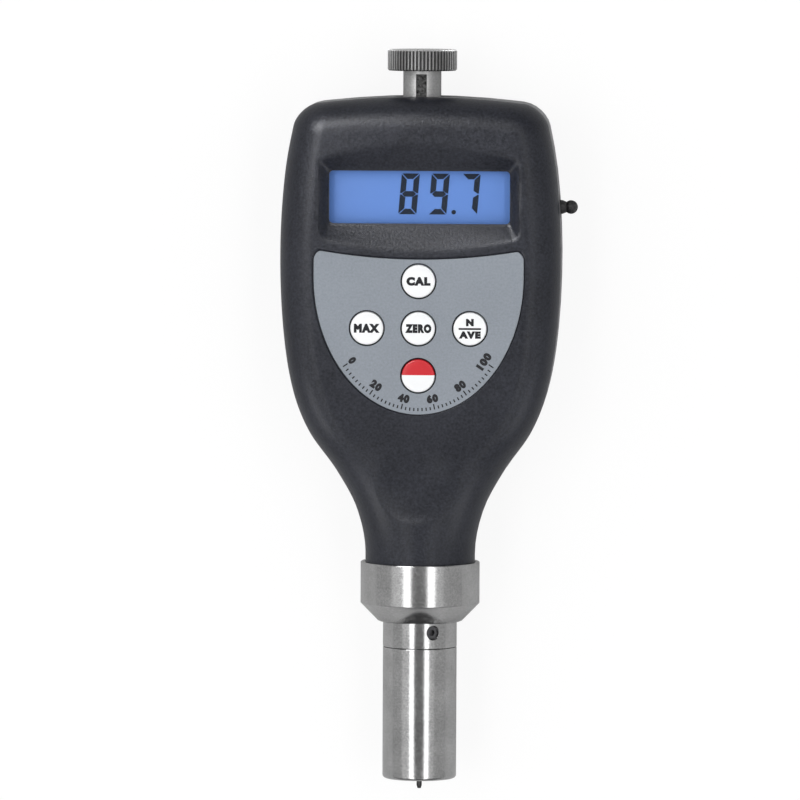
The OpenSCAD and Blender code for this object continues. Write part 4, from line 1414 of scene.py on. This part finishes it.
def segmentOutline(segment):
    # mitred bars of one digit, with its lower left corner at the origin
    wide, high, bar, gap = display["digitWide"], display["digitHigh"], display["bar"], display["gap"]
    middle, half = high / 2, bar / 2
    if segment == "a":
        return [(gap, high), (bar + gap, high - bar), (wide - bar - gap, high - bar), (wide - gap, high)]
    if segment == "d":
        return [(gap, 0.0), (wide - gap, 0.0), (wide - bar - gap, bar), (bar + gap, bar)]
    if segment == "g":
        inset = gap + display["midInset"]
        return [(inset, middle), (inset + half, middle - half), (wide - inset - half, middle - half),
                (wide - inset, middle), (wide - inset - half, middle + half), (inset + half, middle + half)]
    left = [(0.0, high - gap), (0.0, middle + gap), (display["tip"], middle + gap),
            (bar, middle + half + gap), (bar, high - bar - gap)]
    if segment in "ec":
        left = [(x, high - y) for x, y in reversed(left)]
    if segment in "bc":
        left = [(wide - x, y) for x, y in reversed(left)]
    return left


def makeDisplay():
    low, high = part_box("lcd_glass")
    low, high = [value / mm for value in low], [value / mm for value in high]
    panel = blockFrom("displayPanel", low, (high[0], high[1], display["panelTop"]))
    softenEdges(panel, 0.15, 2)
    smoothFaces(panel)
    dress(panel, looks["lcd"], "case", "lcd_blue", "lcd_glass")
    slant = math.tan(math.radians(display["slant"]))
    inkLow, inkTop = display["inkZ"], display["inkZ"] + display["inkThick"]
    parts = []
    for x, digit in display["places"]:
        for segment in segmentsOf[digit]:
            outline = []
            for spotX, spotY in segmentOutline(segment):
                up = spotY - display["digitHigh"] / 2
                outline.append((x + spotX - display["digitWide"] / 2 + up * slant, display["middle"] + up))
            parts.append(slabFrom("bar", outline, inkLow, inkTop))
    x, y, radius = display["dot"]
    parts.append(rodFrom("dot", radius, inkLow, inkTop, (x, y), 24))
    digits = joinPieces("displayDigits", parts)
    dress(digits, looks["digit"], "case", "lcd_blue")
    print("display")


# Probe, knob and plug

probe = {
    "rim": -71.8,
    "coneTop": -81.5,
    "coneEnd": -85.8,
    "footJoint": -91.8,
    "footFace": -122.8,
    "collarRadius": 13.95,
    "cupRadius": 13.0,
    "coneLow": 9.45,
    "neckRadius": 8.65,
    "footRadius": 8.65,
    "boreRadius": 6.6,
    "footFloor": 4.0,
    "tipHole": 1.5,
    "footRound": 0.8,
    "hubLong": 10.0,  # the hub inside the cup, from the housing's neck end
    "hubGap": 0.15,
    "hubRadius": 10.3,
    "hubBore": 5.2,
    "rib": (4.6, 2.6, 11.6),  # from, to, radius
    "coneEdge": (0.2, 0.5),
    "jointGap": 0.02,
    "footGap": 0.05,
    "spigotLong": 8.0,
    "spigotRadius": 6.55,
    "spigotBore": 2.6,
    "seat": (1.8, 7.6, 4.15),  # from and to over the foot's joint, radius
    "screwAt": -88.0,
    "screwLean": 24.0,
    "screwCuts": ((1.5, 4.0, 14.0, 1.5), (1.45, 8.30, 8.90, 1.95)),  # radius, from, to, radius there
}


def collarSection():
    neckEnd, joint, rim = housing["neckEnd"], probe["footJoint"], probe["rim"]
    hubTop, hubLow = neckEnd + probe["hubLong"], neckEnd - probe["hubGap"]
    hub, hubBore, cup, collar = (probe[key] for key in ("hubRadius", "hubBore", "cupRadius", "collarRadius"))
    ribTop, ribLow, rib = probe["rib"]
    ribTop, ribLow = neckEnd + ribTop, neckEnd + ribLow
    coneEnd, coneLow = probe["coneEnd"], probe["coneLow"]
    edgeLong, edgeWide = probe["coneEdge"]
    neckLow, spigotLow = joint + probe["jointGap"], joint - probe["spigotLong"]
    neck, spigot, bore = probe["neckRadius"], probe["spigotRadius"], probe["spigotBore"]
    seatLow, seatTop, seat = probe["seat"]
    seatLow, seatTop = joint + seatLow, joint + seatTop
    return [(hubTop, hubBore), (hubTop, hub), (ribTop, hub), (ribTop, rib), (ribLow, rib), (ribLow, hub),
            (hubLow, hub), (hubLow, cup), (rim, cup), (rim, collar), (probe["coneTop"], collar),
            (coneEnd + edgeLong, coneLow + edgeWide), (coneEnd, coneLow), (coneEnd, neck), (neckLow, neck),
            (neckLow, spigot), (spigotLow, spigot), (spigotLow, bore), (seatLow, bore), (seatLow, seat),
            (seatTop, seat), (seatTop, hubBore), (hubTop, hubBore)]


def makeProbe():
    profile = roundedProfile(collarSection(), {9: 0.3, 10: 0.25, 14: 0.15})
    collar = turnPiece("probeCollar", profile, 160)
    lean = math.radians(probe["screwLean"])
    for radius, low, high, topRadius in probe["screwCuts"]:
        cutter = rodFrom("screwCutter", radius, low, high, (0.0, 0.0), 48, topRadius)
        layAlong(cutter, (math.sin(lean), 0.0, math.cos(lean)), (0.0, probe["screwAt"], axisZ))
        cutWith(collar, cutter)
    smoothFaces(collar, 30.0)
    dress(collar, looks["steel"], "case", "turned_steel", "probe_collar")

    face, top = probe["footFace"], probe["footJoint"] - probe["footGap"]
    floorY = face + probe["footFloor"]
    tip, bore, radius = probe["tipHole"], probe["boreRadius"], probe["footRadius"]
    section = [(floorY, tip), (floorY, bore), (top, bore), (top, radius), (face, radius), (face, tip),
               (floorY, tip)]
    profile = roundedProfile(section, {3: 0.2, 4: probe["footRound"], 5: 0.15})
    foot = turnPiece("presserFoot", profile, 160)
    smoothFaces(foot, 30.0)
    dress(foot, looks["steel"], "case", "turned_steel", "presser_foot")
    print("probe")


knob = {
    "base": 43.2,
    "top": 48.1,
    "radius": 8.1,
    "ridges": 60,
    "ridgeDeep": 0.48,
    "edge": 0.32,
    "grooveFrom": 0.42,  # shares of half a ridge's pitch
    "grooveOver": 0.28,
    "dish": (1.5, 1.9, 0.2),  # the end face's dish: rim's width, floor's start, depth
    "chamfer": 0.3,
    "shaftRadius": 4.45,
    "shaftFrom": 34.85,
    "shankRadius": 2.4,
    "keywayWide": 2.5,
    "keywayDeep": 0.6,
    "keywayStop": 0.8,
    "overlap": 0.03,  # the shaft's end inside the head
}


def makeKnob():
    base, top, radius, edge = knob["base"], knob["top"], knob["radius"], knob["edge"]
    profile = [(base, 0.0), (base, radius - edge)]
    for step in range(7):
        profile.append((base + edge + (top - base - 2 * edge) * step / 6, radius))
    rimWide, dishFrom, dishDeep = knob["dish"]
    profile += [(top, radius - edge), (top, radius - rimWide), (top - dishDeep, radius - dishFrom),
                (top - dishDeep, 0.0)]
    head = turnPiece("knobHead", profile, knob["ridges"] * 10)
    for vertex in head.data.vertices:
        x, z = vertex.co.x / mm, vertex.co.z / mm - axisZ
        out = math.hypot(x, z)
        if out > radius - edge - 0.01:
            phase = (math.atan2(z, x) / (2 * math.pi) * knob["ridges"]) % 1.0
            wave = abs(phase * 2.0 - 1.0)  # 1 in the middle of a groove, 0 on a ridge
            cut = easeInOut((wave - knob["grooveFrom"]) / knob["grooveOver"])
            scale = (out - knob["ridgeDeep"] * cut) / out
            vertex.co.x, vertex.co.z = x * scale * mm, (axisZ + z * scale) * mm
    smoothFaces(head, 24.0)
    dress(head, looks["plate"], "knob", "plated_knob", "thumb_knob")

    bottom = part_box("thumb_knob")[0][1] / mm
    start, end, chamfer = knob["shaftFrom"], base + knob["overlap"], knob["chamfer"]
    shank, thick = knob["shankRadius"], knob["shaftRadius"]
    run = [(bottom, 0.0), (bottom, shank - chamfer), (bottom + chamfer, shank), (start, shank),
           (start, thick - chamfer), (start + chamfer, thick), (end, thick), (end, 0.0)]
    shaft = turnPiece("knobShaft", run, 128)
    half, high = knob["keywayWide"] / 2, axisZ + thick
    slot = blockFrom("keywayCutter", (-half, start - 1.0, high - knob["keywayDeep"]),
                     (half, base - knob["keywayStop"], high + 2.0))
    cutWith(shaft, slot)
    smoothFaces(shaft, 20.0)
    dress(shaft, looks["shaft"], "knob", "plated_knob")
    print("knob, shaft from", round(bottom, 2))


spring = {"wire": 1.6, "mean": 9.8, "turns": 5, "steps": 48, "travel": 2.5}


def makeSpring():
    low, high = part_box("main_spring")
    wire, long = spring["wire"], (high[1] - low[1]) / mm
    deselectAll()
    bpy.ops.mesh.primitive_circle_add(vertices=16, radius=wire / 2 * mm,
                                      location=(spring["mean"] / 2 * mm, 0.0, 0.0))
    coil = started("measuringSpring")
    setHere(coil)
    wind = coil.modifiers.new("wind", "SCREW")
    wind.axis = "Y"
    wind.iterations = spring["turns"]
    wind.screw_offset = (long - wire) / spring["turns"] * mm
    wind.steps = wind.render_steps = spring["steps"]
    applyModifier(coil, wind)
    coil.location = (0.0, low[1] + wire / 2 * mm, axisZ * mm)
    setHere(coil)
    openAll(coil)
    bpy.ops.mesh.fill_holes(sides=0)
    closeEdit()
    faceOutwards(coil)
    smoothFaces(coil, 40.0)
    dress(coil, looks["wire"], "case", "spring_steel", "main_spring")
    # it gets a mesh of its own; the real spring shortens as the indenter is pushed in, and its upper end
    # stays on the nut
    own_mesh(coil)
    print("spring,", round(long, 2), "long")


plug = {
    "y": 11.5,
    "shankRadius": 1.67,
    "tip": (0.6, 0.4),  # length and narrowing of the inner end
    "reach": 4.1,
    "neck": ((-0.2, 1.67), (0.5, 1.62), (0.9, 1.47), (1.3, 1.3), (1.5, 1.2)),  # past the housing, radius
    "ballRadius": 1.6,
    "ballFrom": -45.0,
    "ballSteps": 14,
}


def makePlug():
    low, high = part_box("dust_plug")
    start, end = low[0] / mm, high[0] / mm
    radius, ball, steps = plug["shankRadius"], plug["ballRadius"], plug["ballSteps"]
    tipLong, narrower = plug["tip"]
    profile = [(start, 0.0), (start, radius - narrower), (start + tipLong, radius)]
    profile += [(end - plug["reach"] + past, wide) for past, wide in plug["neck"]]
    for step in range(steps + 1):
        angle = math.radians(plug["ballFrom"] + (90.0 - plug["ballFrom"]) * step / steps)
        profile.append((end - ball + ball * math.sin(angle), max(ball * math.cos(angle), 0.0)))
    piece = turnPiece("dustPlug", profile, 64, (0.0, plug["y"], axisZ), (1.0, 0.0, 0.0))
    smoothFaces(piece, 45.0)
    dress(piece, looks["rubber"], "plug", "black_rubber", "dust_plug")
    print("plug")


def makeRear():
    rear = copyNode("rearShell", "rear_shell", 28.0)
    dress(rear, looks["shell"], "case", "black_shell", "rear_shell")
    cover = copyNode("batteryCover", "battery_cover", 28.0)
    dress(cover, looks["shell"], "cover", "black_shell", "battery_cover")
    print("rear shell and cover")


innerFinishes = {
    "screwSteel": ("case_screws", "board_screws", "battery_contacts"),
    "lens": ("display_lens",),
    "diffuser": ("lcd_backlight",),
    "softGrey": ("lcd_connectors", "sensor_lead"),
    "board": ("circuit_board",),
    "chip": ("board_chips", "key_switches"),
    "wrap": ("battery_1", "battery_2", "battery_3", "battery_4"),
    "wire": ("battery_springs",),
    "jack": ("data_jack",),
    "brass": ("thread_insert", "guide_bush", "spring_nut"),
    "darkSteel": ("set_screw", "sensor_core"),
    "steel": ("plunger",),
    "pinSteel": ("indenter_pin",),
    "bobbin": ("coil_bobbin",),
    "copper": ("coil_winding",),
}


def dressInnerNodes():
    for finish, nodes in innerFinishes.items():
        for node in nodes:
            slots = bpy.data.objects[node].material_slots
            for slot in slots:
                slot.material = looks[finish]
            if not slots:
                bpy.data.objects[node].data.materials.append(looks[finish])
    print("inner parts dressed")


placeCamera()
placeLights()
makeRoom()
groups = {"grain": makeGrainGroup(), "wear": makeWearGroup(), "turned": makeTurnedGroup(),
          "dust": makeDustGroup()}
makeFloor()
looks = makeMaterials()
bpy.context.scene.view_settings.view_transform = "Standard"
print("camera, light and finishes")

makeFrontShell()
makeRear()
makeKeypadSheet()
makeKeys()
makeDisplay()
makeProbe()
makeSpring()
makeKnob()
makePlug()
dressInnerNodes()
